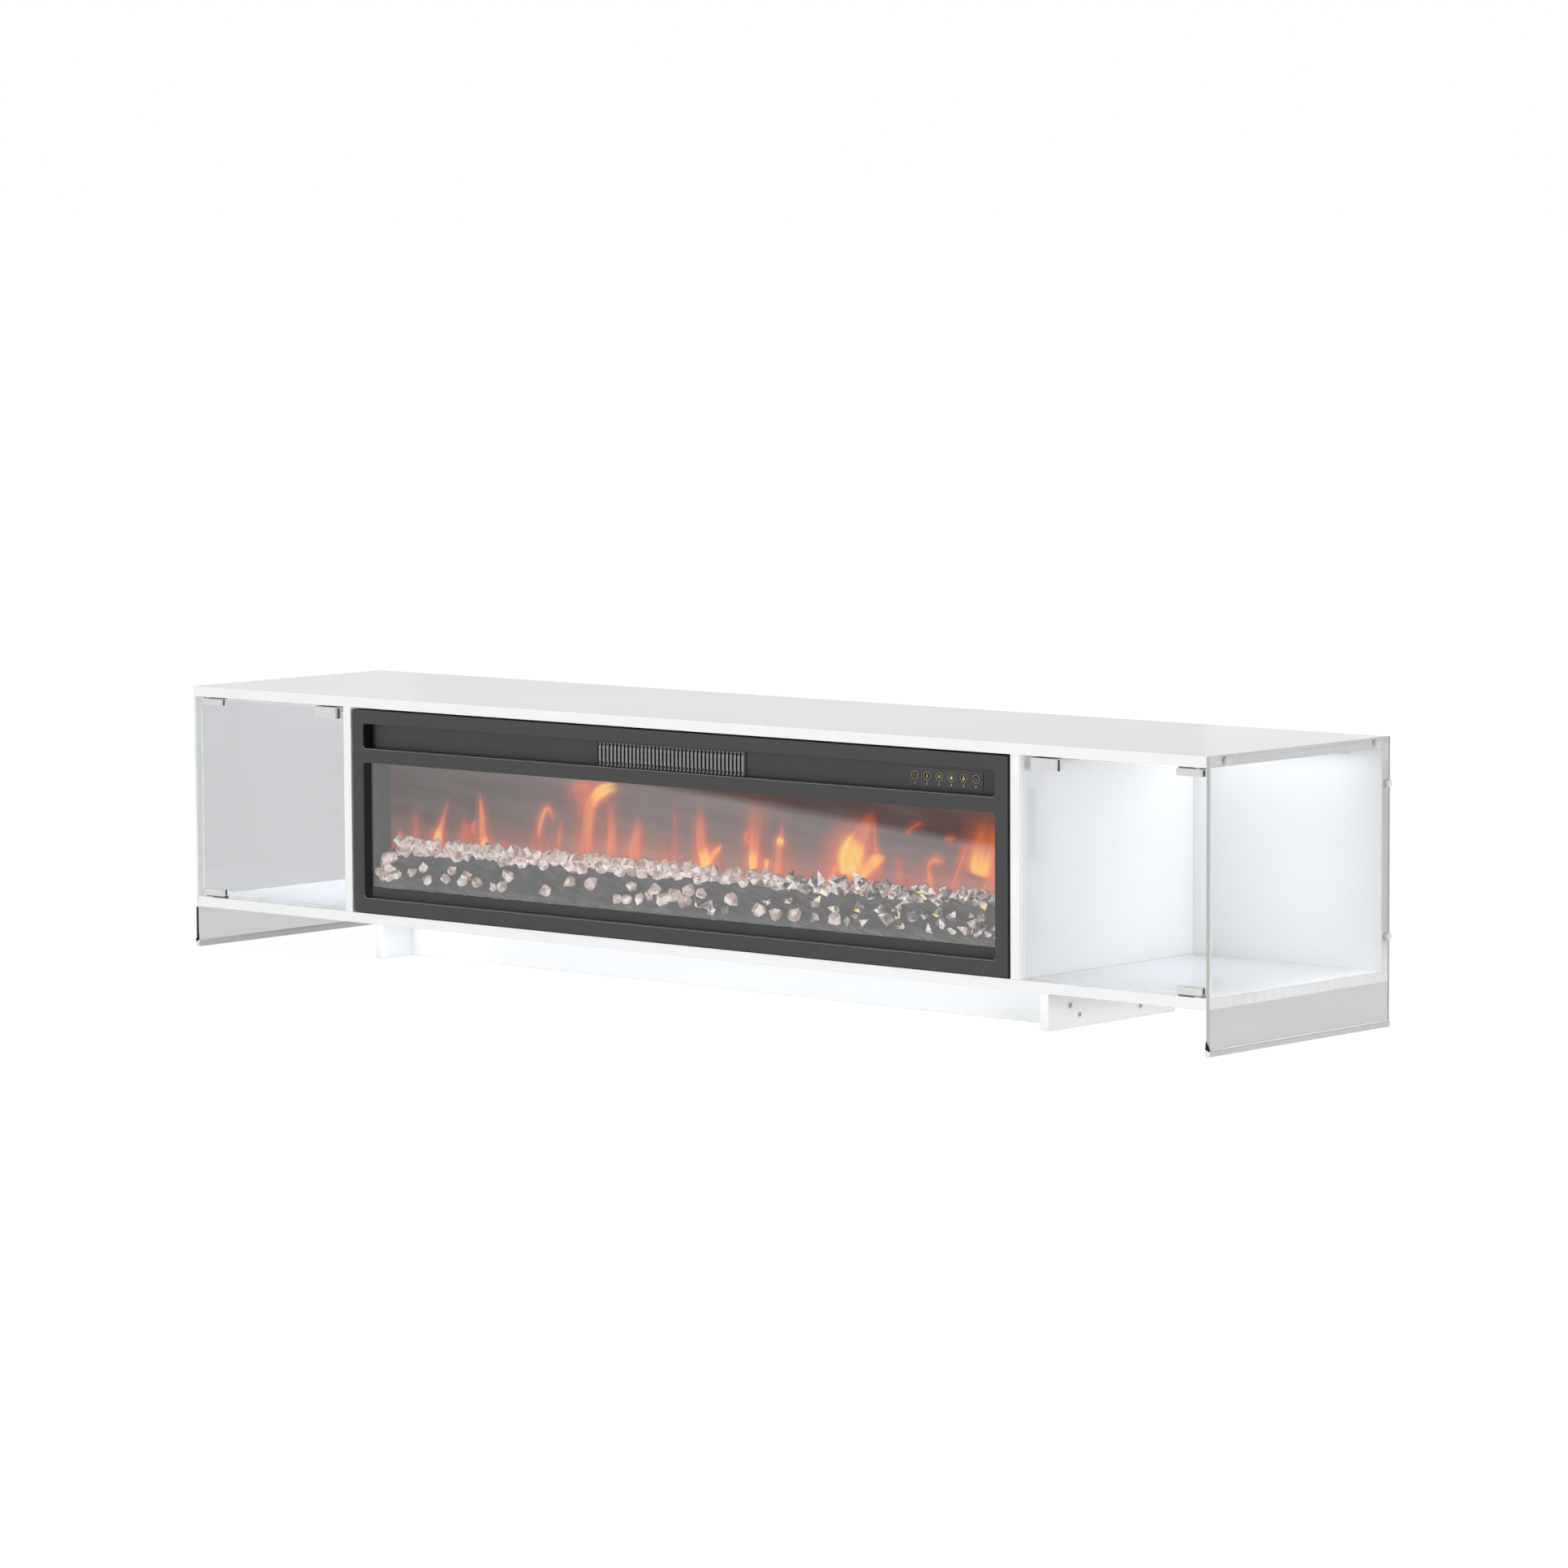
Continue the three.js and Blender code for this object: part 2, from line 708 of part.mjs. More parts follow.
// The crystals: a bed along the slope with faceted stones standing in it
function crystalBed() {
  const near = trimRear + trayThick;
  const far = screenFront - seatClearance;
  const bedHalf = innerHalf - crystalRadius;
  const outline = [
    [near, slopeAt(near) + seatClearance],
    [far, slopeAt(far) + seatClearance],
    [far, slopeAt(far) + seatClearance + crystalBase],
    [near, slopeAt(near) + seatClearance + crystalBase],
  ];
  const parts = [runAlongX(outline, [-bedHalf, bedHalf])];
  const stoneHalf = bedHalf - crystalRadius;
  const count = Math.floor((stoneHalf + stoneHalf) / crystalPitch);
  const reach = far - near - crystalRadius - crystalRadius;
  for (let row = 0; row < crystalRows; row++) {
    for (let i = 0; i < count; i++) {
      const turn = i * flagTurn + row;
      const radius = crystalRadius * (stoneSizeShare + (1 - stoneSizeShare) * Math.abs(Math.sin(turn)));
      const x = -stoneHalf + (i + (row % 2) / 2 + 1 / 2) * crystalPitch * (1 - Math.cos(turn) * stoneDriftShare / count);
      const y = near + crystalRadius + reach * (row + 1 / 2 + Math.cos(turn) * stoneDriftShare) / crystalRows;
      const stone = new THREE.IcosahedronGeometry(radius);
      stone.rotateX(turn);
      stone.rotateZ(turn + row);
      stone.translate(x, y, slopeAt(y) + (radius + seatClearance) * slopeStretch);
      parts.push(stone);
    }
  }
  return piece("crystal_bed", join(...parts), "crystal");
}
// The translucent screen behind the crystals
function flameScreen() {
  const screen = box([-innerHalf, innerHalf], [screenFront, screenRear], [sheetThick, shelfBottom]);
  return piece("flame_screen", screen, "frosted");
}

// Line of the flame rotor
const rotorY = screenRear + rotorSetback;
const bearingX = rotorEndGap - innerHalf;
const motorFace = innerHalf - rotorEndGap - motorLength;

// The shaft with flags set round it at a steady turn
function flameRotor() {
  const shaftStart = bearingX;
  const shaftEnd = motorFace + socketDepth - seatClearance;
  const firstFlag = bearingX + bearingThick + flagWidth;
  const lastFlag = motorFace - flagWidth;
  const parts = [rod("x", rotorShaftRadius, [shaftStart, shaftEnd], [0, 0], fineSides)];
  const count = Math.floor((lastFlag - firstFlag) / flagPitch) + 1;
  for (let i = 0; i < count; i++) {
    const x = firstFlag + i * flagPitch;
    const flag = box([x - flagWidth / 2, x + flagWidth / 2], [-flagReach, flagReach], [-flagThick / 2, flagThick / 2]);
    parts.push(flag.rotateX(i * flagTurn));
  }
  const rotor = piece("flame_rotor", join(...parts), "mirror");
  rotor.position.set(0, rotorY, rotorHeight);
  return rotor;
}

// What carries the rotor: a bearing at the left end and a motor at the right, both on the casing's floor
function rotorSupports() {
  const boreRadius = rotorShaftRadius + runningClearance;
  const bearingHalf = boreRadius + bearingWall;
  const centre = [rotorY, rotorHeight];
  const xs = [bearingX, bearingX + bearingThick];
  const post = box(xs, [rotorY - bearingHalf, rotorY + bearingHalf], [sheetThick, rotorHeight + bearingHalf]);
  const bore = rod("x", boreRadius, [bearingX - cutOverrun, bearingX + bearingThick + cutOverrun], centre, fineSides);
  const motorXs = [motorFace, motorFace + motorLength];
  const motorBody = rod("x", motorRadius, motorXs, centre, fineSides);
  const foot = box(motorXs, [rotorY - motorRadius / 2, rotorY + motorRadius / 2], [sheetThick, rotorHeight]);
  const socket = rod("x", boreRadius, [motorFace - cutOverrun, motorFace + socketDepth], centre, fineSides);
  return [
    piece("rotor_bearing", cut(post, bore), "blackPlastic"),
    piece("rotor_motor", surface(solid(motorBody).add(solid(foot)).subtract(solid(socket))), "zincSheet"),
  ];
}

// The lamps' circuit board on the floor under the rotor
function flameLedBoard() {
  const half = innerHalf - lampBoardEndGap - motorLength;
  const ys = [rotorY - lampBoardWidth / 2, rotorY + lampBoardWidth / 2];
  return piece("flame_led_board", box([-half, half], ys, [sheetThick, sheetThick + lampBoardThick]), "circuitGreen");
}

// Line of the blower wheel, in the middle of the duct's height
const ductTop = innerTop - ductTopGap;
const ductInnerTop = ductTop - sheetThick;
const wheelY = fasciaRear + wheelSetback;
const wheelZ = (shelfTop + ductInnerTop) / 2;
const ductHalf = ductWidth / 2;

// The shelf that parts the flames from the hot air, and the duct that stands on it
function heaterDuct() {
  const shelf = box([-innerHalf, innerHalf], [glassRear, innerRear], [shelfBottom, shelfTop]);
  const ys = [fasciaRear, fasciaRear + ductDepth];
  const hood = box([-ductHalf, ductHalf], ys, [shelfTop, ductTop]);
  const passage = box(
    [sheetThick - ductHalf, ductHalf - sheetThick],
    [ys[0] - cutOverrun, ys[1] + cutOverrun],
    [shelfTop - cutOverrun, ductInnerTop],
  );
  const shaftHole = rod(
    "x",
    rotorShaftRadius + runningClearance,
    [-ductHalf - cutOverrun, ductHalf + cutOverrun],
    [wheelY, wheelZ],
    fineSides,
  );
  const elementYs = [fasciaRear + heaterSetback, fasciaRear + heaterSetback + heaterThick];
  const elementHalf = ductHalf - sheetThick;
  const element = barPanel(elementHalf, elementYs, [shelfTop, ductInnerTop], heaterRail, heaterPitch, heaterBar);
  return [
    piece("heater_shelf", shelf, "zincSheet"),
    piece("heater_housing", cut(hood, passage, shaftHole), "zincSheet"),
    piece("heater_element", element, "satinSteel"),
  ];
}

// The cross-flow wheel: blades between two discs on a shaft that runs through the duct's sides
function blowerWheel() {
  const half = wheelLength / 2;
  const shaftEnd = ductHalf + socketDepth - seatClearance;
  const parts = [
    rod("x", rotorShaftRadius, [-ductHalf, shaftEnd], [0, 0], fineSides),
    rod("x", wheelRadius, [-half, wheelDisc - half], [0, 0], fineSides),
    rod("x", wheelRadius, [half - wheelDisc, half], [0, 0], fineSides),
  ];
  for (let i = 0; i < wheelBlades; i++) {
    const blade = box(
      [wheelDisc / 2 - half, half - wheelDisc / 2],
      [-bladeThick / 2, bladeThick / 2],
      [wheelRadius - bladeDepth - bladeThick, wheelRadius - bladeThick],
    );
    parts.push(blade.rotateX(i * Math.PI * 2 / wheelBlades));
  }
  const wheel = piece("blower_wheel", join(...parts), "blackPlastic");
  wheel.position.set(0, wheelY, wheelZ);
  return wheel;
}

// The blower's motor, on the duct's right side
function blowerMotor() {
  const xs = [ductHalf, ductHalf + blowerMotorLength];
  const body = rod("x", blowerMotorRadius, xs, [wheelY, wheelZ], fineSides);
  const foot = box(xs, [wheelY - blowerMotorRadius / 2, wheelY + blowerMotorRadius / 2], [shelfTop, wheelZ]);
  const socketEnds = [ductHalf - cutOverrun, ductHalf + socketDepth];
  const socket = rod("x", rotorShaftRadius + runningClearance, socketEnds, [wheelY, wheelZ], fineSides);
  return piece("blower_motor", surface(solid(body).add(solid(foot)).subtract(solid(socket))), "zincSheet");
}

// The electronics behind the touch panel: a board on four stands with two tall parts
function controlBoard() {
  const x1 = openHalf - panelEndInset;
  const x0 = x1 - boardWidth;
  const y0 = fasciaRear + boardSetback;
  const y1 = y0 + boardDepth;
  const z0 = shelfTop + boardStand;
  const z1 = z0 + boardSheet;
  const parts = [box([x0, x1], [y0, y1], [z0, z1])];
  const inset = boardStandRadius + boardStandRadius;
  for (const x of [x0 + inset, x1 - inset]) {
    for (const y of [y0 + inset, y1 - inset]) {
      parts.push(rod("z", boardStandRadius, [shelfTop, z1], [x, y]));
    }
  }
  const quarter = boardWidth / 4;
  const third = boardDepth / 3;
  for (const x of [x0 + quarter, x1 - quarter]) {
    parts.push(box([x - quarter / 2, x + quarter / 2], [y0 + third, y1 - third], [z0, z1 + boardPartHeight]));
  }
  return piece("control_board", join(...parts), "circuitGreen");
}

// The gland for the mains cord, clamped in the casing's rear wall
function mainsInlet() {
  const nut = -sheetThick - glandFlange;
  const profile = [
    [glandBoreRadius, nut],
    [glandFlangeRadius, nut],
    [glandFlangeRadius, -sheetThick],
    [glandRadius, -sheetThick],
    [glandRadius, 0],
    [glandFlangeRadius, 0],
    [glandFlangeRadius, glandFlange],
    [glandBoreRadius, glandFlange],
    [glandBoreRadius, nut],
  ];
  const gland = piece("mains_inlet", turned("y", profile), "blackPlastic");
  gland.position.set(glandInset - innerHalf, shellRear, glandHeight);
  return gland;
}

// The fireplace as one insert that stands on the bottom board between the dividers
function fireplace() {
  const insert = new THREE.Group();
  insert.position.set(0, front, floorTop);
  insert.add(frontBezel(), fireboxShell(), ...controlStrip(), ...windowPieces());
  insert.add(emberTray(), crystalBed(), flameScreen());
  insert.add(flameRotor(), ...rotorSupports(), flameLedBoard());
  insert.add(...heaterDuct(), blowerWheel(), blowerMotor(), controlBoard(), mainsInlet());
  return insert;
}

const stand = new THREE.Group();
stand.add(...cabinetBoards(), ...plinthBoards(), fireplace());
for (const [word, side] of Object.entries(sides)) {
  stand.add(...endGlass(word, side), ...capScrews(word, side), door(word, side), ...pushLatch(word, side));
  stand.add(pivotBushing(`${word}_upper_pivot_bushing`, side, ceiling, -1));
  stand.add(pivotBushing(`${word}_lower_pivot_bushing`, side, floorTop, 1));
  stand.add(ledStrip(word, side));
}

export default stand;
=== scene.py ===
# %% [markdown]
# # A fireplace TV stand, dressed
#
# The stand is a long, low white cabinet. Two lacquered boards, a back board and two dividers make three bays.
# The wide middle bay holds an electric fireplace. The two side bays have clear glass doors and glass end panels.
# The solids come in as a fixed frame, in metres, with X to the right, Y to the back and Z up.
# This script gives every piece its finish, and adds the fine pieces: crystals, flames, key rings, numbers,
# grille ribs, strips of painted shade and caps.

# %% Load the frame
import json
import math

import bmesh
import bpy
import numpy as np
from mathutils import Matrix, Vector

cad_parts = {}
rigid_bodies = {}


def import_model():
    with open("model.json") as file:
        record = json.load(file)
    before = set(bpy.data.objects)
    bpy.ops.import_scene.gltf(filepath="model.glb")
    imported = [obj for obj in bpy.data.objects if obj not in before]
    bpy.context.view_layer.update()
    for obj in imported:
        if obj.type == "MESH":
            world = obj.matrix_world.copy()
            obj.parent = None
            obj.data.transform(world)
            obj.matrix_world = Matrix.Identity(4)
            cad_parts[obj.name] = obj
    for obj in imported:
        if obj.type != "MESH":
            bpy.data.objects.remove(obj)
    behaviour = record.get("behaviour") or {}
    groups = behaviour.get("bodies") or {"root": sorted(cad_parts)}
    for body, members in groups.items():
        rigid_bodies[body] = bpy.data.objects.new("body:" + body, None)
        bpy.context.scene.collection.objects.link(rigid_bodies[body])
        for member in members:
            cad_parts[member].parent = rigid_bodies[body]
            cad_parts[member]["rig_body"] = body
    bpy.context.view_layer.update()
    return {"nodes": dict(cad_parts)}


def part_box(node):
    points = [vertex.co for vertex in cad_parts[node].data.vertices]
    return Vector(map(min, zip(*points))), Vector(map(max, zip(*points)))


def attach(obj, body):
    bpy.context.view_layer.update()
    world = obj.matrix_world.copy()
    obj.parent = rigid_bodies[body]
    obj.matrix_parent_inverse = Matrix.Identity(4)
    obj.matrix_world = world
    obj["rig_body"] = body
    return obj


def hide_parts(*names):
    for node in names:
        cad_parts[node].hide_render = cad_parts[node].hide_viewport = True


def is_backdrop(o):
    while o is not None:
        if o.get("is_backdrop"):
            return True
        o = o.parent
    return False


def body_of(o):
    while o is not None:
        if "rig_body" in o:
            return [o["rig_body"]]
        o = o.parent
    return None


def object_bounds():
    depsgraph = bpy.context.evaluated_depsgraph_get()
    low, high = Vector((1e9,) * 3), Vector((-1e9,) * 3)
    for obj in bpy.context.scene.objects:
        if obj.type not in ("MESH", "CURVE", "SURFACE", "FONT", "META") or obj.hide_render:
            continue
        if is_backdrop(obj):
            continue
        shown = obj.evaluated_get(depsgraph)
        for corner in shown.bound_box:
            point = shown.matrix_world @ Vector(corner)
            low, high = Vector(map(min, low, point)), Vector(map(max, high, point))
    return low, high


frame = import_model()
nodes = frame["nodes"]
mm = 0.001
scene = bpy.context.scene


def placed(name, data):
    """A new object with this data, put into the scene."""
    thing = bpy.data.objects.new(name, data)
    scene.collection.objects.link(thing)
    return thing


# %% [markdown]
# ## Camera
#
# The picture was taken with a long lens from the front right, a little above the top board.
# A camera's matrix has its right, up and backward directions as columns, so the three angles below are turned
# into those directions. Yaw turns it round the vertical, pitch tips it, and roll leans it sideways.

# %% Camera
camera_place = np.array([5.8268, -6.4957, 1.1005])
yaw, pitch, roll = np.radians([-41.66, -5.352, -0.29])
picture_width = 1932
focal_pixels = 7683.4
sensor_width = 36

forward = np.array([math.sin(yaw) * math.cos(pitch), math.cos(yaw) * math.cos(pitch), math.sin(pitch)])
level = np.array([math.cos(yaw), -math.sin(yaw), 0])
upward = np.cross(level, forward)
camera_right = level * math.cos(roll) + upward * math.sin(roll)
camera_up = upward * math.cos(roll) - level * math.sin(roll)

camera = placed("camera", bpy.data.cameras.new("camera"))
camera.data.sensor_width = sensor_width
camera.data.lens = focal_pixels / picture_width * sensor_width
camera.data.clip_start = 0.1
camera.data.clip_end = 1000
view = np.eye(4)
view[:3, :] = np.column_stack([camera_right, camera_up, -forward, camera_place])
camera.matrix_world = Matrix(view.tolist())
scene.camera = camera
scene.view_settings.view_transform = "Standard"
print("lens", round(camera.data.lens, 1), "mm")

# %% [markdown]
# ## Shader maths as plain expressions
#
# A material is a tree of nodes. Written out link by link, even a simple pattern is hard to read.
# The class below wraps one socket. Arithmetic on it adds a Math node, so that 1 - mask is a working line.
# Its add method makes any other node: first the settings, then the values or links of the sockets.

# %% One class for sockets
class Link:
    """A socket in a node tree. Plus, minus, times, abs and comparisons add Math nodes."""

    def __init__(self, socket):
        self.socket = socket

    def add(self, kind, settings=None, **inputs):
        """A new node of this kind in the same tree, as a Link to its first output. A socket is named with _ for
        a space, or by in0, in1 and so on where names repeat. The stops of a ramp are (place, colour) pairs."""
        node = self.socket.id_data.nodes.new("ShaderNode" + kind)
        for name, value in (settings or {}).items():
            if name == "stops":
                ramp = node.color_ramp
                while len(ramp.elements) < len(value):
                    ramp.elements.new(1)
                for stop, (where, shade) in zip(ramp.elements, value):
                    stop.position = where
                    stop.color = colour(shade)
            else:
                setattr(node, name, value)
        for name, value in inputs.items():
            number = name[2:] if name.startswith("in") else ""
            into = node.inputs[int(number) if number.isdigit() else name.replace("_", " ")]
            if isinstance(value, Link):
                self.socket.id_data.links.new(value.socket, into)
            else:
                into.default_value = value
        return Link(node.outputs[0]) if node.outputs else node

    def out(self, name):
        """Another output of the same node, by name or number."""
        return Link(self.socket.node.outputs[name])

    def maths(self, operation, first, second=0.0):
        return self.add("Math", {"operation": operation}, in0=first, in1=second)

    def __add__(self, other):
        return self.maths("ADD", self, other)

    def __sub__(self, other):
        return self.maths("SUBTRACT", self, other)

    def __rsub__(self, other):
        return self.maths("SUBTRACT", other, self)

    def __mul__(self, other):
        return self.maths("MULTIPLY", self, other)

    def __gt__(self, other):
        return self.maths("GREATER_THAN", self, other)

    def __lt__(self, other):
        return self.maths("LESS_THAN", self, other)

    def __abs__(self):
        return self.maths("ABSOLUTE", self)

    __radd__ = __add__
    __rmul__ = __mul__

    def soft(self, low, high):
        """0 at low, 1 at high, and a smooth step in between."""
        settings = {"interpolation_type": "SMOOTHSTEP"}
        return self.add("MapRange", settings, Value=self, From_Min=low, From_Max=high, To_Min=0.0, To_Max=1.0)

    def between(self, low, high):
        """The value at this share of the way from low to high."""
        return self.add("MapRange", Value=self, From_Min=0.0, From_Max=1.0, To_Min=low, To_Max=high)

    def tint(self, low, high):
        """The colour at this share of the way from colour low to colour high."""
        ends = {"in6": colour(low), "in7": colour(high)}
        return self.add("Mix", {"data_type": "RGBA"}, in0=self, **ends).out(2)

    def ramp(self, *stops):
        """The colour that a ramp through these (place, colour) stops has at this value."""
        return self.add("ValToRGB", {"stops": stops}, Fac=self)

    def parts(self):
        """The three parts of a vector."""
        split = self.add("SeparateXYZ", Vector=self)
        return [split.out(i) for i in range(3)]


def colour(value):
    """A grey, a colour triple or a Link, as a colour socket takes it."""
    if isinstance(value, Link):
        return value
    if isinstance(value, (int, float)):
        return (value, value, value, 1)
    return tuple(value) + (1,)


# %% [markdown]
# ## Starting and ending a finish
#
# Every finish starts from Object coordinates. The pieces sit at the origin unturned, so these are the real
# places on the object in metres, and a grain or speckle keeps its true scale on each piece.
# It ends in a Principled shader. A number that is the same all over is set on the shader's own socket.

# %% Start and end of a material
def start(name):
    """A new material, and its Object coordinates as a Link."""
    material = bpy.data.materials.new(name)
    material.use_nodes = True
    material.node_tree.nodes.clear()
    return material, Link(material.node_tree.nodes.new("ShaderNodeTexCoord").outputs["Object"])


def end(material, place, shader):
    place.add("OutputMaterial", Surface=shader)
    return material


def finished(material, place, **inputs):
    """Ends a material in a Principled shader with these inputs."""
    return end(material, place, place.add("BsdfPrincipled", **inputs))


def light_over_clear(material, place, share, light, strength):
    """Ends a material in plain light for this share of it, and clear for the rest."""
    clear = place.add("BsdfTransparent", Color=colour(1.0))
    shine = place.add("Emission", Color=light, Strength=strength)
    return end(material, place, place.add("MixShader", in0=share, in1=clear, in2=shine))


def noise(place, scale, detail=3.0, rough=0.5):
    """Noise of about scale lumps to the metre, from 0 to 1."""
    return place.add("TexNoise", Vector=place, Scale=scale, Detail=detail, Roughness=rough)


def grain(place, amounts, detail=3.0, rough=0.5, turn=(0, 0, 0)):
    """Noise that runs one way: amounts are its lumps to the metre along X, Y and Z, after a turn."""
    spread = tuple(1 / amount for amount in amounts)
    along = place.add("Mapping", {"vector_type": "TEXTURE"}, Vector=place, Rotation=turn, Scale=spread)
    return noise(along, 1, detail, rough)


def bumped(place, height, strength, distance):
    return place.add("Bump", Height=height, Strength=strength, Distance=distance)


def facing(place, axis):
    """The part of the surface's own normal along one axis, from -1 to 1."""
    return place.add("TexCoord").out("Normal").parts()[axis]


print("shader helpers ready")

# %% [markdown]
# ## White lacquer
#
# The boards are fibreboard with several coats of sprayed white lacquer. Sprayed lacquer is never quite flat:
# it keeps a faint ripple, called orange peel, a few millimetres wide. That ripple is what breaks up a
# reflection on the top. Its colour is nearly even, with soft clouds that hardly show.

# %% White lacquer
def lacquer_finish():
    material, place = start("white_lacquer")
    cloud = noise(place, 3, 2.0)
    ripple = noise(place, 260, 2.0)
    return finished(material, place, Base_Color=cloud.tint((0.89, 0.892, 0.896), (0.92, 0.92, 0.92)),
                    Roughness=cloud.between(0.07, 0.11), Normal=bumped(place, ripple, 0.012, 0.001))


lacquer = lacquer_finish()
print(lacquer.name)

# %% [markdown]
# ## Clear glass
#
# Clear float glass bends light, so a Principled shader with full transmission is used. Lamps can't be seen
# through bent glass without a great many samples. The usual cure is a Transparent shader for shadow rays
# only, so that the lamps reach what is behind the glass. A ground edge looks grey-green and a little dull,
# because light runs a long way inside the sheet before it comes out there, so the edge has a finish of its own.

# %% Clear glass and its edge
def glass_finish(name, through, ior=1.5):
    material, place = start(name)
    smear = noise(place, 5, 2.0)
    tone = smear.tint(through, [c * 0.99 for c in through])
    glass = place.add("BsdfPrincipled", Base_Color=tone, Roughness=0.0, IOR=ior, Transmission_Weight=1.0)
    clear = place.add("BsdfTransparent", Color=colour(0.93))
    lamps = place.add("LightPath").out("Is Shadow Ray")
    return end(material, place, place.add("MixShader", in0=lamps, in1=glass, in2=clear))


def glass_edge_finish(name, dark, light, foot=0.0, painted_glow=0.0):
    """A ground edge. Below the height foot it turns nearly black, where the channel's shadow fills the sheet:
    painted shade.
    painted_glow is painted light: a glow for the light that the sheet gathers and gives off at this edge."""
    material, place = start(name)
    height = place.parts()[2]
    grind = grain(place, (900, 900, 60), 2.0)
    tone = grind.tint(dark, light)
    if foot:
        tone = height.soft(foot, foot + 2 * mm).tint((0.01, 0.01, 0.01), tone)
    return finished(material, place, Base_Color=tone, Roughness=grind.between(0.1, 0.25), Emission_Color=tone,
                    Emission_Strength=painted_glow)


end_glass = glass_finish("end_glass", (0.897, 0.898, 0.9))
door_glass = glass_finish("door_glass", (0.97, 0.98, 1.0))
window_glass = glass_finish("window_glass", (0.97, 0.97, 0.97), 2.0)
# The edge finishes are one ground edge in lit and shaded tones, so they are painted light and shade. The left
# glass's front edge is pale and bluish, the right one darker, and the pale and door edges carry a painted glow.
right_edge = glass_edge_finish("glass_edge_right", (0.37, 0.4, 0.36), (0.53, 0.55, 0.51))
left_edge = glass_edge_finish("glass_edge_left", (0.8, 0.85, 0.9), (0.93, 0.95, 0.97), 58 * mm)
pale_edge = glass_edge_finish("glass_edge_pale", (0.72, 0.75, 0.72), (0.84, 0.86, 0.83), 0.0, 0.5)
door_edge = glass_edge_finish("glass_edge_door", (0.7, 0.74, 0.7), (0.84, 0.87, 0.84), 0.0, 0.3)
print(end_glass.name, door_glass.name, window_glass.name)

# %% [markdown]
# ## Metals
#
# The clamps, clips and foot channels are satin metal. Brushing leaves fine scratches along one direction,
# so the noise is stretched along X before it drives roughness and a very small bump.

# %% Metals
def brushed_finish(name, dark, light, low, high, stretch=(40, 1500, 1500), metallic=1.0):
    material, place = start(name)
    scratch = grain(place, stretch)
    return finished(material, place, Base_Color=scratch.tint(dark, light), Metallic=metallic,
                    Roughness=scratch.between(low, high), Normal=bumped(place, scratch, 0.06, 0.0005))


channel_metal = brushed_finish("channel_metal", (0.64, 0.645, 0.64), (0.74, 0.74, 0.73), 0.3, 0.42, metallic=0.7)
satin_metal = brushed_finish("satin_metal", (0.84, 0.845, 0.84), (0.95, 0.95, 0.94), 0.3, 0.42, metallic=0.7)
cap_metal = brushed_finish("cap_metal", (0.62, 0.625, 0.62), (0.74, 0.74, 0.73), 0.3, 0.42, metallic=0.6)
zinc_sheet = brushed_finish("zinc_sheet", (0.35, 0.36, 0.37), (0.47, 0.48, 0.49), 0.35, 0.5, (200, 200, 200))
bright_foil = brushed_finish("bright_foil", (0.78, 0.78, 0.78), (0.86, 0.86, 0.86), 0.05, 0.14, (30, 300, 300))
print(satin_metal.name, zinc_sheet.name, bright_foil.name)

# %% [markdown]
# ## Coats, sheet and plastic
#
# Powder coat and moulded plastic both carry a fine, even grain. The grain's width and the base tone tell
# them apart, so one function makes them all.

# %% Grained finishes
def grained_finish(name, dark, light, scale, low, high, strength=0.15):
    material, place = start(name)
    speckle = noise(place, scale, 3.0, 0.6)
    cloud = noise(place, 8, 2.0)
    return finished(material, place, Base_Color=(speckle * 0.6 + cloud * 0.4).tint(dark, light),
                    Roughness=speckle.between(low, high), Normal=bumped(place, speckle, strength, 0.0004))


charcoal_coat = grained_finish("charcoal_coat", 0.047, 0.055, 900, 0.45, 0.6)
# Painted shade: near black for the end returns of the fireplace's openings and for the window glass's edges,
# which lie in shade.
return_black = grained_finish("return_black", 0.001, 0.002, 900, 0.8, 0.9)
dark_sheet = grained_finish("dark_sheet", 0.012, 0.02, 700, 0.45, 0.6)
white_plastic = grained_finish("white_plastic", 0.78, 0.84, 1100, 0.4, 0.5)
black_plastic = grained_finish("black_plastic", 0.012, 0.022, 1100, 0.35, 0.5)
gold_print = grained_finish("gold_print", (0.85, 0.6, 0.16), (0.98, 0.76, 0.3), 1500, 0.35, 0.5, 0.05)
black_rubber = grained_finish("black_rubber", 0.004, 0.008, 600, 0.7, 0.85)
# A grey used as painted shade: the strips round the clamps and the thin lines under the channels' beads.
grey_rubber = grained_finish("grey_rubber", 0.16, 0.24, 600, 0.6, 0.75)
black_gloss = grained_finish("black_gloss", 0.052, 0.06, 400, 0.25, 0.32, 0.03)
circuit_board = grained_finish("circuit_board", (0.012, 0.1, 0.045), (0.02, 0.15, 0.06), 500, 0.3, 0.45)
print(charcoal_coat.name, dark_sheet.name, black_gloss.name)

# %% [markdown]
# ## Which solid has which finish
#
# A frame node keeps its mesh. Only the material in its slot changes. Many of the nodes below are dressed
# again further on, by a copy with rounded edges.

# %% Finish every frame node
finish_of = {
    lacquer: ["top_panel", "bottom_panel", "back_panel", "divider", "plinth"],
    end_glass: ["side_glass"],
    door_glass: ["door_glass"],
    satin_metal: ["foot_channel", "cap_screw", "hinge_clamp", "strike_clip", "bushing"],
    charcoal_coat: ["front_bezel", "control_fascia", "heater_grille", "window_trim"],
    dark_sheet: ["firebox_shell", "ember_tray"],
    zinc_sheet: ["heater_shelf", "heater_housing", "heater_element", "rotor_bearing", "blower_wheel"],
    white_plastic: ["latch", "led_strip"],
    black_plastic: ["motor", "mains_inlet"],
    black_gloss: ["touch_panel"],
    window_glass: ["window_glass"],
    bright_foil: ["flame_rotor"],
    circuit_board: ["control_board", "flame_led_board"],
}


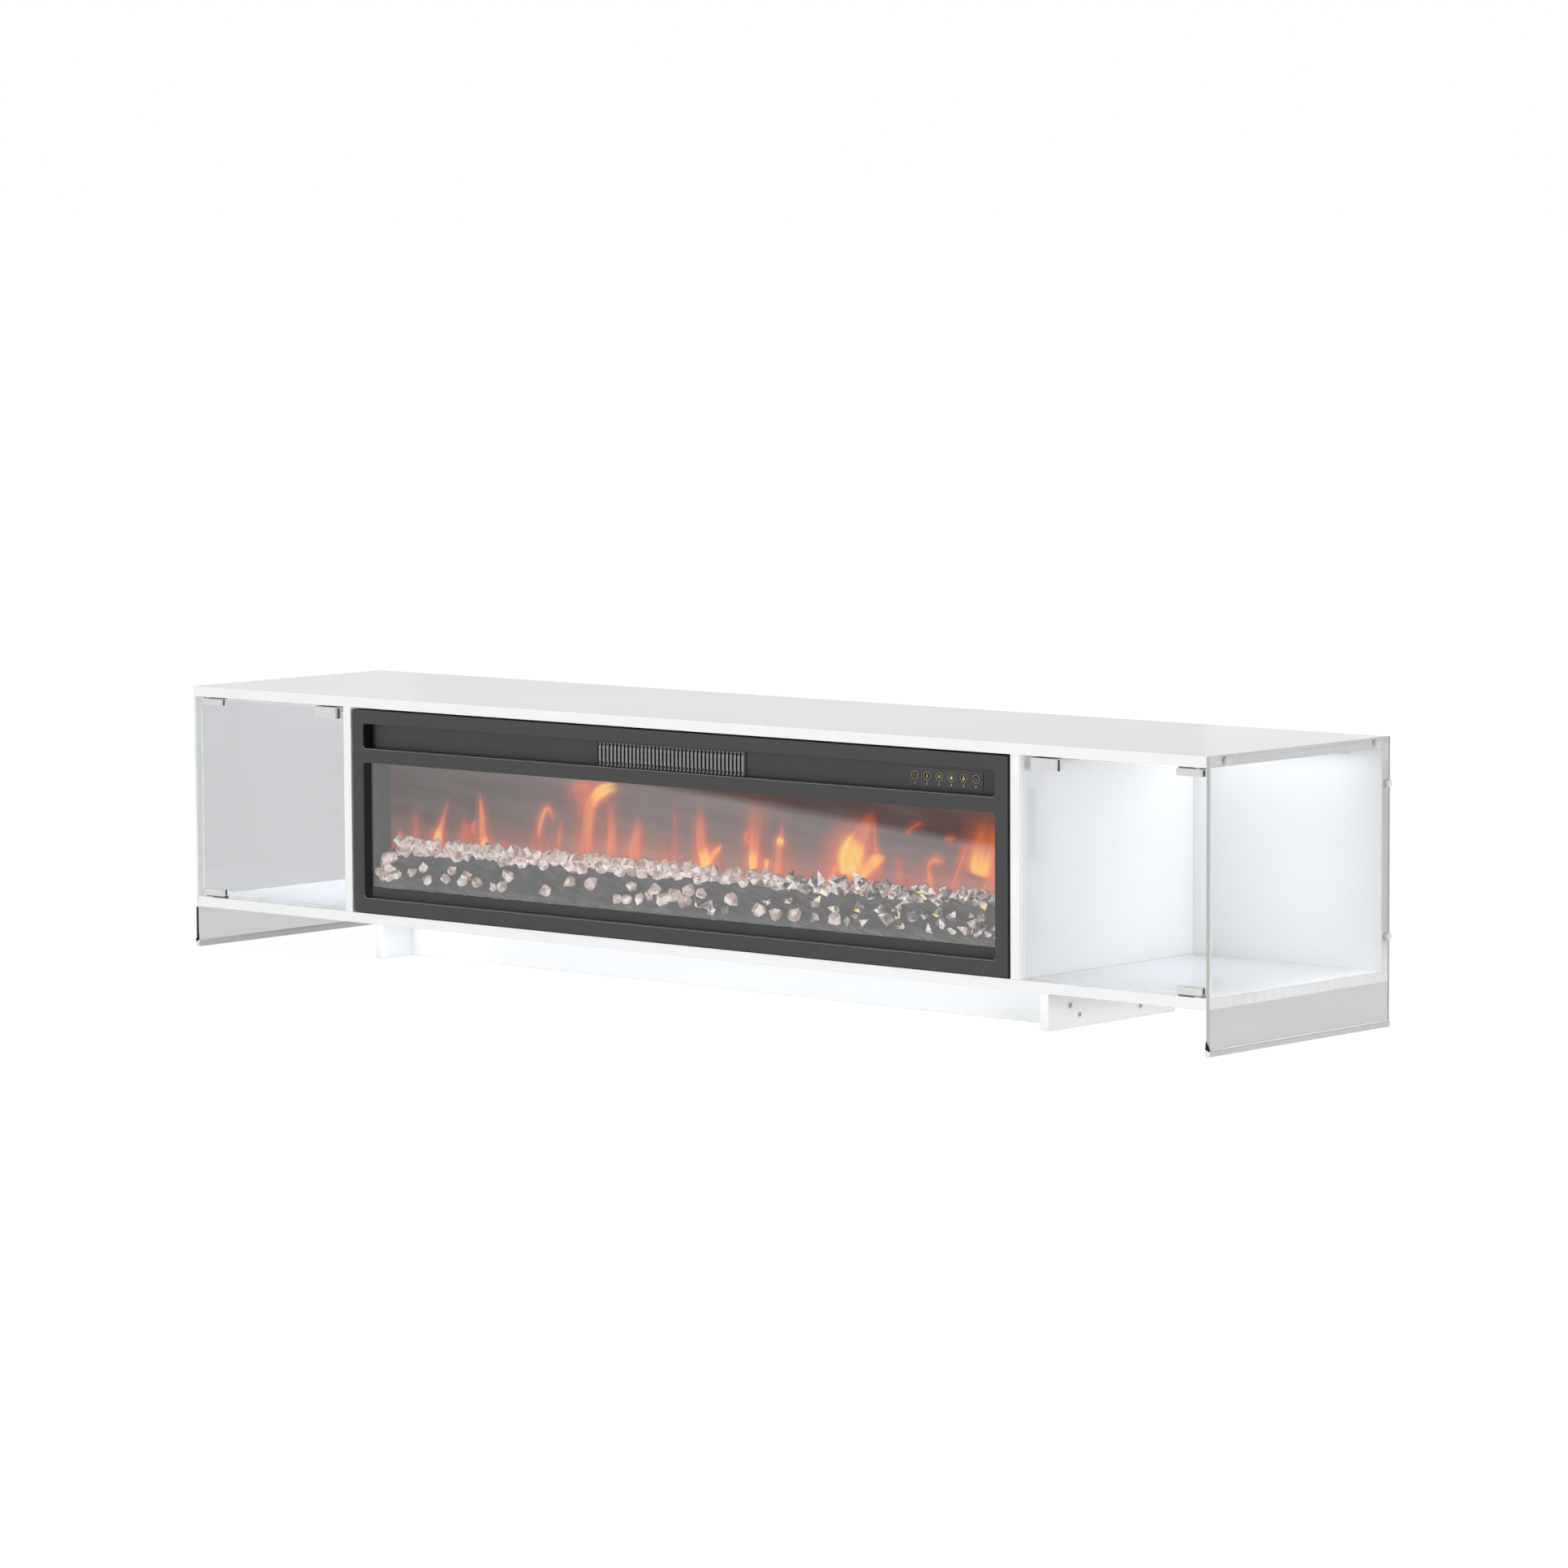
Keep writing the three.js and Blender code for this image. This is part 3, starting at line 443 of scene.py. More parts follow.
def give(name, finish):
    """Puts this finish on a frame node."""
    for slot in nodes[name].material_slots:
        slot.material = finish


def among(words):
    """The frame nodes with any of these words in their names."""
    return [name for name in nodes if any(word in name for word in words)]


for finish, words in finish_of.items():
    for name in among(words):
        give(name, finish)
print("finishes in use:", len(finish_of))

# %% [markdown]
# ## Making a piece
#
# A piece of this script is made in one of two ways. A grid of points, worked out as whole arrays, is joined
# into a skin. A bar, a tube along a path and a piece turned round an axis are such grids. And a rounded piece
# is a merged copy of a frame node whose edges get a small round, because light catches every real edge.

# %% A skin over grids of points
def skin(name, grids, wrap=False, loop=False, ends=False, smooth=False, uv=None, **marks):
    """A mesh from grids of points, an array of grids x rows x columns x 3, or one grid. Neighbours are joined by
    four-sided faces. wrap joins the last column to the first and loop the last row to the first. ends closes
    the first and last row with a fan to its middle. uv and marks are values on the points."""
    grids = np.asarray(grids, float)
    grids = grids[None] if grids.ndim == 3 else grids
    count, rows, columns = grids.shape[:3]
    index = np.arange(count * rows * columns).reshape(count, rows, columns)
    index = np.concatenate([index, index[:, :, :1]], 2) if wrap else index
    index = np.concatenate([index, index[:, :1]], 1) if loop else index
    quads = np.stack([index[:, :-1, :-1], index[:, :-1, 1:], index[:, 1:, 1:], index[:, 1:, :-1]], -1)
    points, faces = grids.reshape(-1, 3), quads.reshape(-1, 4).tolist()
    if ends:
        middles = np.stack([grids[:, 0].mean(1), grids[:, -1].mean(1)], 1).reshape(-1, 3)
        first, last = (len(points) + np.arange(count * 2)).reshape(count, 2, 1).swapaxes(0, 1)
        side = np.ones_like(index[:, 0, 1:])
        low = np.stack([index[:, 0, 1:], index[:, 0, :-1], first * side], -1)
        high = np.stack([index[:, -1, :-1], index[:, -1, 1:], last * side], -1)
        faces += low.reshape(-1, 3).tolist() + high.reshape(-1, 3).tolist()
        points = np.concatenate([points, middles])
    mesh = bpy.data.meshes.new(name)
    mesh.from_pydata(points.tolist(), [], faces)
    mesh.polygons.foreach_set("use_smooth", np.full(len(faces), smooth))
    if uv is not None:
        corners = np.zeros(len(mesh.loops), int)
        mesh.loops.foreach_get("vertex_index", corners)
        layer = mesh.uv_layers.new(name="sheet")
        flat = np.zeros((len(points), 2))
        flat[:np.size(uv) // 2] = np.reshape(uv, (-1, 2))
        layer.data.foreach_set("uv", flat[corners].ravel())
    for mark, values in marks.items():
        kept = mesh.attributes.new(mark, "FLOAT", "POINT")
        spread = np.zeros(len(points))
        spread[:np.size(values)] = np.ravel(values)
        kept.data.foreach_set("value", spread)
    return placed(name, mesh)


def shown(piece, body, slot, *finishes, stands_for=()):
    """Gives a piece its finishes and the body it rides on, and hides the frame nodes that it stands for."""
    for finish in finishes:
        piece.data.materials.append(finish)
    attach(piece, body)
    if stands_for:
        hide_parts(*stands_for)
    return piece


def closed_piece(name, grids, slot, *finishes, body="cabinet", **how):
    """A finished piece from grids of points, joined round each row and closed at the first and last."""
    return shown(skin(name, np.array(grids), wrap=True, ends=True, **how), body, slot, *finishes)


def bar(low, high):
    """A straight bar between two opposite corners as a grid: its four long edges at the two ends along X."""
    (x0, y0, z0), (x1, y1, z1) = np.minimum(low, high), np.maximum(low, high)
    ring = [(y0, z0), (y1, z0), (y1, z1), (y0, z1)]
    return np.array([[(x, y, z) for y, z in ring] for x in (x0, x1)])


def tube(path, y, half, flatness=1.0, steps=8, closed=False):
    """A tube's grid along a path of (x, z) places at depth y: point(s, a) = path(s) + half * cos(a) across the
    path, and flatness * half * sin(a) forward."""
    path = np.asarray(path, float)
    along = (np.roll(path, -1, 0) - np.roll(path, 1, 0)) if closed else np.gradient(path, axis=0)
    along /= np.linalg.norm(along, axis=1)[:, None]
    angle = np.arange(steps) / steps * 2 * np.pi
    grid = np.zeros((len(path), steps, 3))
    grid[..., 0] = path[:, :1] + half * np.cos(angle) * -along[:, 1:]
    grid[..., 2] = path[:, 1:] + half * np.cos(angle) * along[:, :1]
    grid[..., 1] = y - half * flatness * np.sin(angle)
    return grid


def turned(profile, centre, axis, side=1, steps=24):
    """A turned piece's grid. profile is (radius, height) rows; each row is a circle of that radius, at that
    height along the axis (0, 1 or 2 for X, Y or Z) on the given side of the centre."""
    radius, height = np.asarray(profile, float).T
    angle = np.arange(steps) / steps * 2 * np.pi * side
    grid = np.zeros((len(radius), steps, 3))
    grid[:, :, (axis + 1) % 3] = radius[:, None] * np.cos(angle)
    grid[:, :, (axis + 2) % 3] = radius[:, None] * np.sin(angle)
    grid[:, :, axis] = height[:, None] * side
    return grid + np.asarray(centre, float)


def smooth_through(points, count):
    """A smooth curve through the points, with count places on it: the cubic whose slope at each point is half
    the step between its two neighbours."""
    points = np.asarray(points, float)
    slope = np.gradient(points, axis=0)
    where = np.linspace(0, len(points) - 1, count)
    i = np.minimum(where.astype(int), len(points) - 2)
    t = (where - i)[:, None]
    first = (2 * t ** 3 - 3 * t ** 2 + 1) * points[i] + (t ** 3 - 2 * t ** 2 + t) * slope[i]
    return first + (3 * t ** 2 - 2 * t ** 3) * points[i + 1] + (t ** 3 - t ** 2) * slope[i + 1]


# %% A rounded copy of a frame node
flat_enough, sharp_edge, round_from = np.radians([1, 35, 40])  # angles between neighbouring faces
merge_reach = 0.001 * mm


def rounded(name, width, slot, *finishes, chooser=None, segments=2, smooth=False):
    """A merged copy of a frame node with rounds of this width on its edges, which stands for the node.
    chooser(normals, centres) gives each face the number of its finish. smooth is for round pieces: it blends
    the faces of a cylinder, and keeps every edge that is sharper than sharp_edge."""
    shape = bmesh.new()
    shape.from_mesh(nodes[name].data)
    bmesh.ops.remove_doubles(shape, verts=shape.verts, dist=merge_reach)
    bmesh.ops.dissolve_limit(shape, angle_limit=flat_enough, verts=shape.verts, edges=shape.edges)
    bmesh.ops.recalc_face_normals(shape, faces=shape.faces)
    mesh = bpy.data.meshes.new(name + "_dressed")
    shape.to_mesh(mesh)
    shape.free()
    faces = len(mesh.polygons)
    mesh.polygons.foreach_set("use_smooth", np.full(faces, smooth))
    if smooth:
        mesh.set_sharp_from_angle(angle=sharp_edge)
    piece = placed(name + "_dressed", mesh)
    shown(piece, body_of(nodes[name])[0], slot, *finishes, stands_for=[name])
    if chooser:
        normals, centres = np.zeros(faces * 3), np.zeros(faces * 3)
        mesh.polygons.foreach_get("normal", normals)
        mesh.polygons.foreach_get("center", centres)
        chosen = chooser(normals.reshape(-1, 3), centres.reshape(-1, 3))
        mesh.polygons.foreach_set("material_index", chosen.astype(int))
    bevel = piece.modifiers.new("round", "BEVEL")
    bevel.width, bevel.segments = width, segments
    bevel.limit_method, bevel.angle_limit = "ANGLE", round_from


print("two ways to make a piece")

# %% [markdown]
# ## Boards
#
# Lacquered board edges are eased by sanding, a round of about a millimetre. Without it, a board looks like
# paper. With it, a thin line of light runs along each edge.

# %% Boards
board_round = 0.8 * mm
for name in among(finish_of[lacquer]):
    rounded(name, board_round, "lacquered_board", lacquer)
print("boards rounded")

# %% [markdown]
# ## Glass ends and doors
#
# Each sheet's thin edges are ground and get the edge finish. The large faces stay clear. The thin side is
# found from the faces' normals: a face that doesn't look along the sheet's thickness is an edge.

# %% Glass sheets
glass_round = 0.4 * mm
sheets = {  # the axis that the sheet is thin along, and the finishes of its faces, front edge and other edges
    "left_side_glass": (0, end_glass, left_edge, pale_edge),
    "right_side_glass": (0, end_glass, right_edge, pale_edge),
    "left_door_glass": (1, door_glass, door_edge, door_edge),
    "right_door_glass": (1, door_glass, door_edge, door_edge),
    "window_glass": (1, window_glass, return_black, return_black),
}


def sheet_faces(thin):
    """A chooser for a sheet that is thin along this axis: 0 for its large faces, 1 for a front edge and 2 for
    the others."""
    def choose(normals, centres):
        edge = np.abs(normals[:, thin]) < 0.5
        return edge + (edge & (normals[:, 1] > -0.5))
    return choose


for name, (thin, *finishes) in sheets.items():
    rounded(name, glass_round, "clear_glass", *finishes, chooser=sheet_faces(thin))
print("glass sheets:", len(sheets))

# %% [markdown]
# ## Fittings of the doors and ends
#
# The clamps, clips and channels are cut from satin bar and their edges are broken. A grey strip between each
# clamp and the board, and a thin grey strip on each face of the glass, are painted shade for the gaps round each
# clamp.

# %% Metal fittings
fittings = {  # the width of the round, the finish, and if the fitting is round
    "hinge_clamp": (0.6 * mm, satin_metal, False),
    "strike_clip": (0.6 * mm, satin_metal, False),
    "cap_screw": (0.5 * mm, cap_metal, True),
    "foot_channel": (0.3 * mm, channel_metal, False),
}
for name in among(fittings):
    width, finish, smooth = next(how for word, how in fittings.items() if word in name)
    rounded(name, width, "satin_metal", finish, smooth=smooth)

# The pads and gaskets below are grey strips of painted shade, for the gaps round each clamp.
strip_thick, strip_in, strip_front = 0.35 * mm, 1 * mm, 0.3 * mm
glass_strip_thick, glass_strip_in, glass_strip_out = 0.6 * mm, 0.5 * mm, 0.1 * mm
shade_strips = {"left": [], "right": []}
for name in among(["hinge_clamp", "strike_clip"]):
    low, high = np.array(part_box(name))
    side = name.split("_")[0]
    face, away = (low[2], low[2] - strip_thick) if "lower" in name else (high[2], high[2] + strip_thick)
    shade_strips[side].append(bar((low[0] + strip_in, low[1] + strip_front, face),
                          (high[0] - strip_in, high[1] - strip_in, away)))
    for glass, outward in zip(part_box(side + "_door_glass"), (-1, 1)):
        shade_strips[side].append(bar((low[0] - glass_strip_out, glass[1], low[2] + glass_strip_in),
                              (high[0] + glass_strip_out, glass[1] + outward * glass_strip_thick, high[2] - glass_strip_in)))
for side, grids in shade_strips.items():
    closed_piece(side + "_door_pads", grids, "black_plastic", grey_rubber, body=side + "_door")
print("pads and gaskets:", sum(len(g) for g in shade_strips.values()))

# %% [markdown]
# ## Ends of the foot channels
#
# Each end glass stands in a slim channel. A small dark wedge closes the channel's front end; it is painted
# reflection, the dark patch that the channel's end shows.
# A pale foot closes the end under it, and its pale colour is painted reflection as well.

# %% Channel ends
# The wedge's dark colour and the foot's pale colour are painted reflection.
wedge = [(944, 9.6), (950.6, 6.6), (950.6, 11), (944.8, 20)]  # x and z in millimetres, on the right
foot = [(944, 0.4), (950.6, 0.4), (950.6, 6.5), (944, 9.5)]
end_depths = -194.4 * mm, -195.4 * mm
for name, outline, slot, finish in (("channel_wedges", wedge, "black_plastic", black_rubber),
                                    ("channel_feet", foot, "white_plastic", white_plastic)):
    grids = []
    for side in (-1, 1):
        x, z = (np.array(outline) * mm * [side, 1])[::side].T
        grids.append([np.column_stack([x, np.full(4, y), z]) for y in end_depths])
    closed_piece(name, grids, slot, finish)
    print(name, len(grids))

# %% [markdown]
# ## Seals of the end glasses
#
# A pale bead lies along both lips of each foot channel and seals it against the glass; its pale line is also a
# painted highlight along the lips. A thin grey line just under the outer bead is painted shade.

# %% Beads
channel_front, channel_back = -193.5 * mm, 194.5 * mm


def channel_bars(*sections):
    """Bars along both channels, each from a section (inner x, outer x, low z, high z) in millimetres."""
    return [bar((inner * side * mm, channel_front, low * mm), (outer * side * mm, channel_back, high * mm))
            for side in (-1, 1) for inner, outer, low, high in sections]


# The grey seams are painted shade, and the pale beads are also a painted highlight.
seams = channel_bars((951.2, 951.7, 7.3, 7.7))
beads = channel_bars((943.6, 944.95, 8, 9.1), (950.05, 951.4, 8, 9.1))
closed_piece("end_seams", seams, "black_plastic", grey_rubber)
closed_piece("channel_beads", beads, "white_plastic", white_plastic)
print("beads:", len(seams) + len(beads))

# %% [markdown]
# ## Cap fasteners of the plinth
#
# The plinth's outer faces show the round caps of its fasteners. A cap is a turned piece: a low dome with
# a rolled rim and a dark socket in its middle.

# %% Plinth caps
plinth_end = 633.5 * mm
cap_places = [(-88.1, 30.8, 6.5), (-67.9, 16.4, 5.3), (62.4, 15.4, 5.3)]
rims, sockets = [], []
for side in (-1, 1):
    for y, z, radius in cap_places:
        centre = (plinth_end * side, y * mm, z * mm)
        inner = radius * 0.5
        rim = [(radius, 0), (radius, 0.5), (radius - 0.5, 1), (radius * 0.6, 1), (inner, 0.6), (inner, 0)]
        hole = [(inner, 0), (inner, 0.55), (radius * 0.2, 0.4), (0.1, 0.3)]
        rims.append(turned(np.array(rim) * mm, centre, 0, side))
        sockets.append(turned(np.array(hole) * mm, centre, 0, side))
closed_piece("plinth_caps", rims, "white_plastic", white_plastic, smooth=True)
closed_piece("plinth_cap_sockets", sockets, "zinc_sheet", zinc_sheet)
print("plinth caps:", len(rims))

# %% [markdown]
# ## The fireplace's front
#
# The bezel is folded sheet with a charcoal powder coat. Its long edges are rolled, and the rolled lips and lower
# returns are coloured lighter than the coat: a painted highlight for the line of light they catch.
# The returns at the ends of the two openings are near black: painted shade, as dark as the gap round the insert.

# %% Bezel, fascia and trim
opening_half = 600 * mm
lower_returns_under = 330 * mm


def returns(normals, centres):
    """0 for the face, 1 for the end returns of the openings, painted black for their shade, 2 for the lower
    returns, coloured light as a painted highlight.
    """
    inside = np.abs(centres[:, 0]) < opening_half
    ends = (np.abs(normals[:, 0]) > 0.2) & (np.abs(normals[:, 1]) < 0.5) & inside
    lower = (normals[:, 2] > 0.98) & inside & (centres[:, 2] < lower_returns_under)
    return ends + 2 * lower


# The lower returns' lighter coat is a painted highlight.
rolled_edge = grained_finish("rolled_edge", 0.12, 0.2, 300, 0.35, 0.5)
rounded("front_bezel", 1 * mm, "charcoal_coat", charcoal_coat, return_black, rolled_edge, chooser=returns,
        segments=3)


def fascia_finish():
    """The bezel's coat, with the shade of the left end wall: it darkens over the last few millimetres there."""
    material, place = start("fascia_coat")
    speckle = noise(place, 900, 3.0, 0.6)
    shade = place.parts()[0].soft(-589 * mm, -578 * mm) * 0.95 + 0.05
    return finished(material, place, Base_Color=(speckle.between(0.85, 1.0) * shade).tint(0.0, 0.055),
                    Roughness=speckle.between(0.45, 0.6), Normal=bumped(place, speckle, 0.15, 0.0004))


rounded("control_fascia", 0.2 * mm, "charcoal_coat", fascia_finish())
rounded("window_trim", 0.6 * mm, "charcoal_coat", charcoal_coat)


lip_radius, lip_turn, lip_rise, lip_half, lip_stop = 0.85 * mm, 3.5 * mm, 4 * mm, 592.2 * mm, 10 * mm
lip_depth = -194.6 * mm


def lip(low):
    """A rolled lip inside an opening whose lower edge is at z = low: a round bead that comes down the left side,
    runs round the corner, along the lower edge and a little way up at the right."""
    bend = np.linspace(0, np.pi / 2, 7)
    turn_x, turn_z = lip_half - lip_turn, low + lip_turn
    left = np.column_stack([-turn_x - lip_turn * np.cos(bend), turn_z - lip_turn * np.sin(bend)])
    middle = np.column_stack([np.linspace(lip_stop - lip_half, lip_half - lip_stop, 60), np.full(60, low)])
    right = np.column_stack([turn_x + lip_turn * np.sin(bend), turn_z - lip_turn * np.cos(bend)])
    return tube(np.vstack([[-lip_half, low + lip_rise], left, middle, right]), lip_depth, lip_radius)


# The lips' coat is lighter than the bezel's: a painted highlight.
lip_coat = brushed_finish("lip_coat", 0.09, 0.21, 0.35, 0.5, (60, 500, 900), metallic=0.0)
for name, low in (("slot_lip", 314.1 * mm), ("window_lip", 96.9 * mm)):
    closed_piece(name, [lip(low)], "charcoal_coat", lip_coat, smooth=True)
print("front dressed")

# %% [markdown]
# ## Heater grille
#
# Behind the slot, the hot air leaves through a row of upright bars. Each bar carries a bright rib, a
# half-round strip, with a dark pin at its top and bottom. The rib is a half circle carried along the bar.

# %% Ribs and pins of the grille
grille_low, grille_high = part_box("heater_grille")
bar_pitch = 7.25 * mm
bar_count = 38
bars = (np.arange(bar_count) - (bar_count - 1) / 2) * bar_pitch
rib_half = 2.1 * mm
rib_rise = 0.6 * mm
rib_face = grille_low[1]
rib_ends = grille_low[2] + 2.4 * mm, grille_high[2] - 1.8 * mm


def ribs():
    """Half-round strips: point(s, a) = bar + half * cos(a) across and rise * sin(a) forward, from end to end."""
    angle = np.linspace(np.pi, 0, 7)
    grid = np.zeros((bar_count, 2, len(angle), 3))
    grid[..., 0] = bars[:, None, None] + rib_half * np.cos(angle)
    grid[..., 1] = rib_face - rib_rise * np.sin(angle)
    grid[..., 2] = np.array(rib_ends)[None, :, None]
    return grid


def rib_finish():
    """Satin strip that is paler towards both ends: painted light."""
    material, place = start("rib_metal")
    scratch = grain(place, (900, 900, 60))
    middle = (rib_ends[0] + rib_ends[1]) / 2
    # Painted light: the strip is paler towards its ends.
    painted_light_share = abs(place.parts()[2] - middle).soft(3 * mm, 14 * mm)
    return finished(material, place, Base_Color=(scratch * 0.25 + painted_light_share * 0.75).tint(0.27, 0.85),
                    Metallic=0.5, Roughness=scratch.between(0.45, 0.6),
                    Normal=bumped(place, scratch, 0.06, 0.0005))


closed_piece("grille_ribs", ribs(), "satin_metal", rib_finish(), smooth=True)
pin_profile = np.array([(1.0, 0), (1.0, 0.85), (0.7, 1.05), (0.1, 1.05)]) * mm
pin_stretch = [1, 1, 1.9]
pin_heights = grille_low[2] + 5 * mm, grille_high[2] - 4.6 * mm
pin = turned(pin_profile, (0, 0, 0), 1, -1, 10) * pin_stretch
pins = [pin + [x, rib_face, z] for x in bars for z in pin_heights]
closed_piece("grille_pins", pins, "black_plastic", black_rubber)
tip_height = grille_low[2] + 1.1 * mm
tips = [turned(pin_profile * [0.9, 0.8], (x, rib_face, tip_height), 1, -1, 8) for x in bars]
closed_piece("grille_tips", tips, "satin_metal", satin_metal)
gap_left, gap_right, gap_depth = grille_low[0] + 0.1 * mm, grille_low[0] + 2.3 * mm, 0.3 * mm
gap = bar((gap_left, rib_face - gap_depth, grille_low[2]), (gap_right, rib_face, grille_high[2]))
closed_piece("grille_gap", [gap], "black_plastic", black_rubber)
print("ribs:", bar_count)

# %% [markdown]
# ## Touch keys
#
# The control strip has six touch keys. Each is a printed gold ring round a small pictogram: a clock, a
# thermometer, warm air, a flame, a drop, and a power sign. Below each stands a plain number.
# A printed line is made here as a very flat tube that follows a path over the panel.

# %% Lines on the panel
panel_low, panel_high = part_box("touch_panel")
panel_face = panel_low[1]
key_pitch = 21.28 * mm
key_first = 442 * mm
key_height = 334.6 * mm
key_radius = 5.4 * mm
line_half = 0.3 * mm
rounded("touch_panel", 0.25 * mm, "black_gloss", black_gloss)


def line(path, closed=False, half=line_half):
    """A printed line along a path of (x, z) places on the panel: a tube a quarter as thick as it is wide."""
    return tube(path, panel_face, half, 0.25, 6, closed)


def circle(x, z, radius, steps=40, start_at=0.0, stop_at=1.0, closed=True):
    angle = np.linspace(start_at, stop_at, steps, endpoint=not closed) * 2 * np.pi + np.pi / 2
    return np.column_stack([x + radius * np.cos(angle), z + radius * np.sin(angle)])


key_x = key_first + key_pitch * np.arange(6)
rings = [line(circle(x, key_height, key_radius), True) for x in key_x]
ring_print = grained_finish("ring_print", (0.4, 0.37, 0.24), (0.55, 0.5, 0.34), 1500, 0.35, 0.5, 0.05)
ring_skin = skin("key_rings", np.array(rings), wrap=True, loop=True, smooth=True)
shown(ring_skin, "cabinet", "black_gloss", ring_print)
# The pale lip along the panel's top edge is a painted highlight.
panel_lip = bar((panel_low[0], panel_face - 0.02 * mm, panel_high[2] - 0.1 * mm),
                (panel_high[0], panel_face + 0.4 * mm, panel_high[2] + 0.45 * mm))
panel_lip_highlight = grained_finish("panel_lip_coat", 0.12, 0.16, 900, 0.4, 0.5)
closed_piece("panel_lip", [panel_lip], "black_gloss", panel_lip_highlight)
print("key rings:", len(rings))

# %% Dark discs and pictograms
disc_profile = np.array([(4.9, 0), (4.9, 0.03), (0.2, 0.03)]) * mm
discs = [turned(disc_profile, (x, panel_face, key_height), 1, -1, 32) for x in key_x]
disc_print = grained_finish("disc_print", (0.006, 0.003, 0.008), (0.01, 0.006, 0.013), 900, 0.6, 0.7)
closed_piece("key_discs", discs, "black_gloss", disc_print)


def wave(x):
    return [(x - 0.4, -2.4), (x + 0.4, -1.2), (x - 0.4, 0), (x + 0.4, 1.2), (x - 0.4, 2.4)]


# Each pictogram is a few paths in millimetres round the key's middle, and each path becomes a smooth line.
clock = [circle(0, 0, 2.6, 25).tolist() + [[0, 2.6]], [(0, 1.7), (0, 0.9), (0, 0.1)],
         [(0, 0), (0.7, -0.5), (1.3, -0.9)]]
thermometer = [[(-0.5, -1), (-0.5, 2.4), (0, 2.9), (0.5, 2.4), (0.5, -1), (1, -1.9), (0, -2.9), (-1, -1.9),
                (-0.5, -1)], [(0, -1.8), (0, -0.5), (0, 1.4)]]
warmth = [wave(-1.7), wave(0), wave(1.7)]
flame = [[(0, -2.5), (1.9, -1.6), (1.6, 0.4), (0.3, 2.9), (-0.2, 1), (-1.5, 0.2), (-1.8, -1.5), (0, -2.5)],
         [(0, -1.7), (0.8, -1.2), (0.2, 0.2), (-0.7, -1.1), (0, -1.7)]]
drop = [[(0, 2.9), (-0.9, 1.1), (-1.7, -0.6), (-1.1, -2.1), (0, -2.6), (1.1, -2.1), (1.7, -0.6), (0.9, 1.1),
         (0, 2.9)], [(-0.5, -1.4), (0, -1.7), (0.6, -1.3)]]
power = [circle(0, -0.2, 2.2, 16, 0.1, 0.9, False).tolist(), [(0, 2.4), (0, 1.2), (0, 0.2)]]
line_halves = [0.2, 0.28, 0.34, 0.52, 0.58, 0.28]
places_on_line = 24
pictograms = []
for x, half, shapes in zip(key_x, line_halves, [clock, thermometer, warmth, flame, drop, power]):
    for shape in shapes:
        path = smooth_through(shape, places_on_line) * mm
        pictograms.append(line(path + [x, key_height], half=half * mm))
closed_piece("key_pictograms", pictograms, "black_gloss", gold_print, smooth=True)
print("pictogram lines:", len(pictograms))


# %% Plain numbers under the keys
number_height, number_size, number_thick = 323 * mm, 4.6 * mm, 0.03 * mm


def number(text, x):
    """A number as a mesh, thin and upright on the panel, centred on x."""
    curve = bpy.data.curves.new("number", "FONT")
    curve.body, curve.size, curve.align_x = text, number_size, "CENTER"
    curve.extrude = number_thick
    holder = placed("number", curve)
    bpy.context.view_layer.update()
    mesh = bpy.data.meshes.new_from_object(holder.evaluated_get(bpy.context.evaluated_depsgraph_get()))
    bpy.data.objects.remove(holder)
    points = np.zeros(len(mesh.vertices) * 3)
    mesh.vertices.foreach_get("co", points)
    across, up, out = points.reshape(-1, 3).T
    points = np.column_stack([x + across, panel_face - number_thick - out, number_height + up])
    mesh.vertices.foreach_set("co", points.ravel())
    shown(placed(f"key_number_{text}", mesh), "cabinet", "black_gloss", gold_print)


for place_in_row, x in enumerate(key_x, 1):
    number(str(place_in_row), x)
print("numbers under the keys:", len(key_x))

# %% [markdown]
# ## The flame screen
#
# Behind the crystals stands a sheet of smoked acrylic. Light from the lamps and the turning foil strikes it
# from behind, so it shows a reddish haze that is strongest just above the crystals and fades upwards.
# Soot-like streaks run across it. The haze is an emission colour that falls off with height.

# %% Smoked screen
def screen_finish():
    material, place = start("smoked_screen")
    x, _, z = place.parts()
    streak = grain(place, (5, 5, 45), turn=(0, 0.08, 0))
    cloud = grain(place, (7, 7, 11), 2.0)
    reach = x.soft(-0.54, -0.08)
    soot = streak.soft(0.36, 0.66)
    haze = (soot * 0.035 + reach * 0.065).tint(0.0, (1.0, 0.9, 0.89))
    near = 1 - z.soft(0.16, 0.27)
    warm = near * near * (cloud * 1.1 + 0.35) * (x.soft(-0.63, -0.3) * 0.6 + 0.4)
    ember = (warm + cloud * 0.22 + reach * cloud * 0.16).tint(0.0, (0.3, 0.075, 0.045))
    full = place.add("VectorMath", {"operation": "ADD"}, in0=haze, in1=ember)
    return finished(material, place, Base_Color=streak.tint(0.012, 0.03), Roughness=cloud.between(0.5, 0.7),
                    Emission_Color=full, Emission_Strength=1.0)


smoked_screen = screen_finish()
give("flame_screen", smoked_screen)
print(smoked_screen.name)

# %% [markdown]
# ## Flames
#
# The flames are light on the screen. Each tongue is a flat ribbon a hair in front of it. Its middle line
# runs through a few points, given as x, z, half width and heat, in millimetres. A ribbon's point is the
# middle line plus its half width times a number from -1 to 1 across. Heat drives the colour, from deep red
# to yellow, and how solid the light is. Towards both edges, the light fades out.

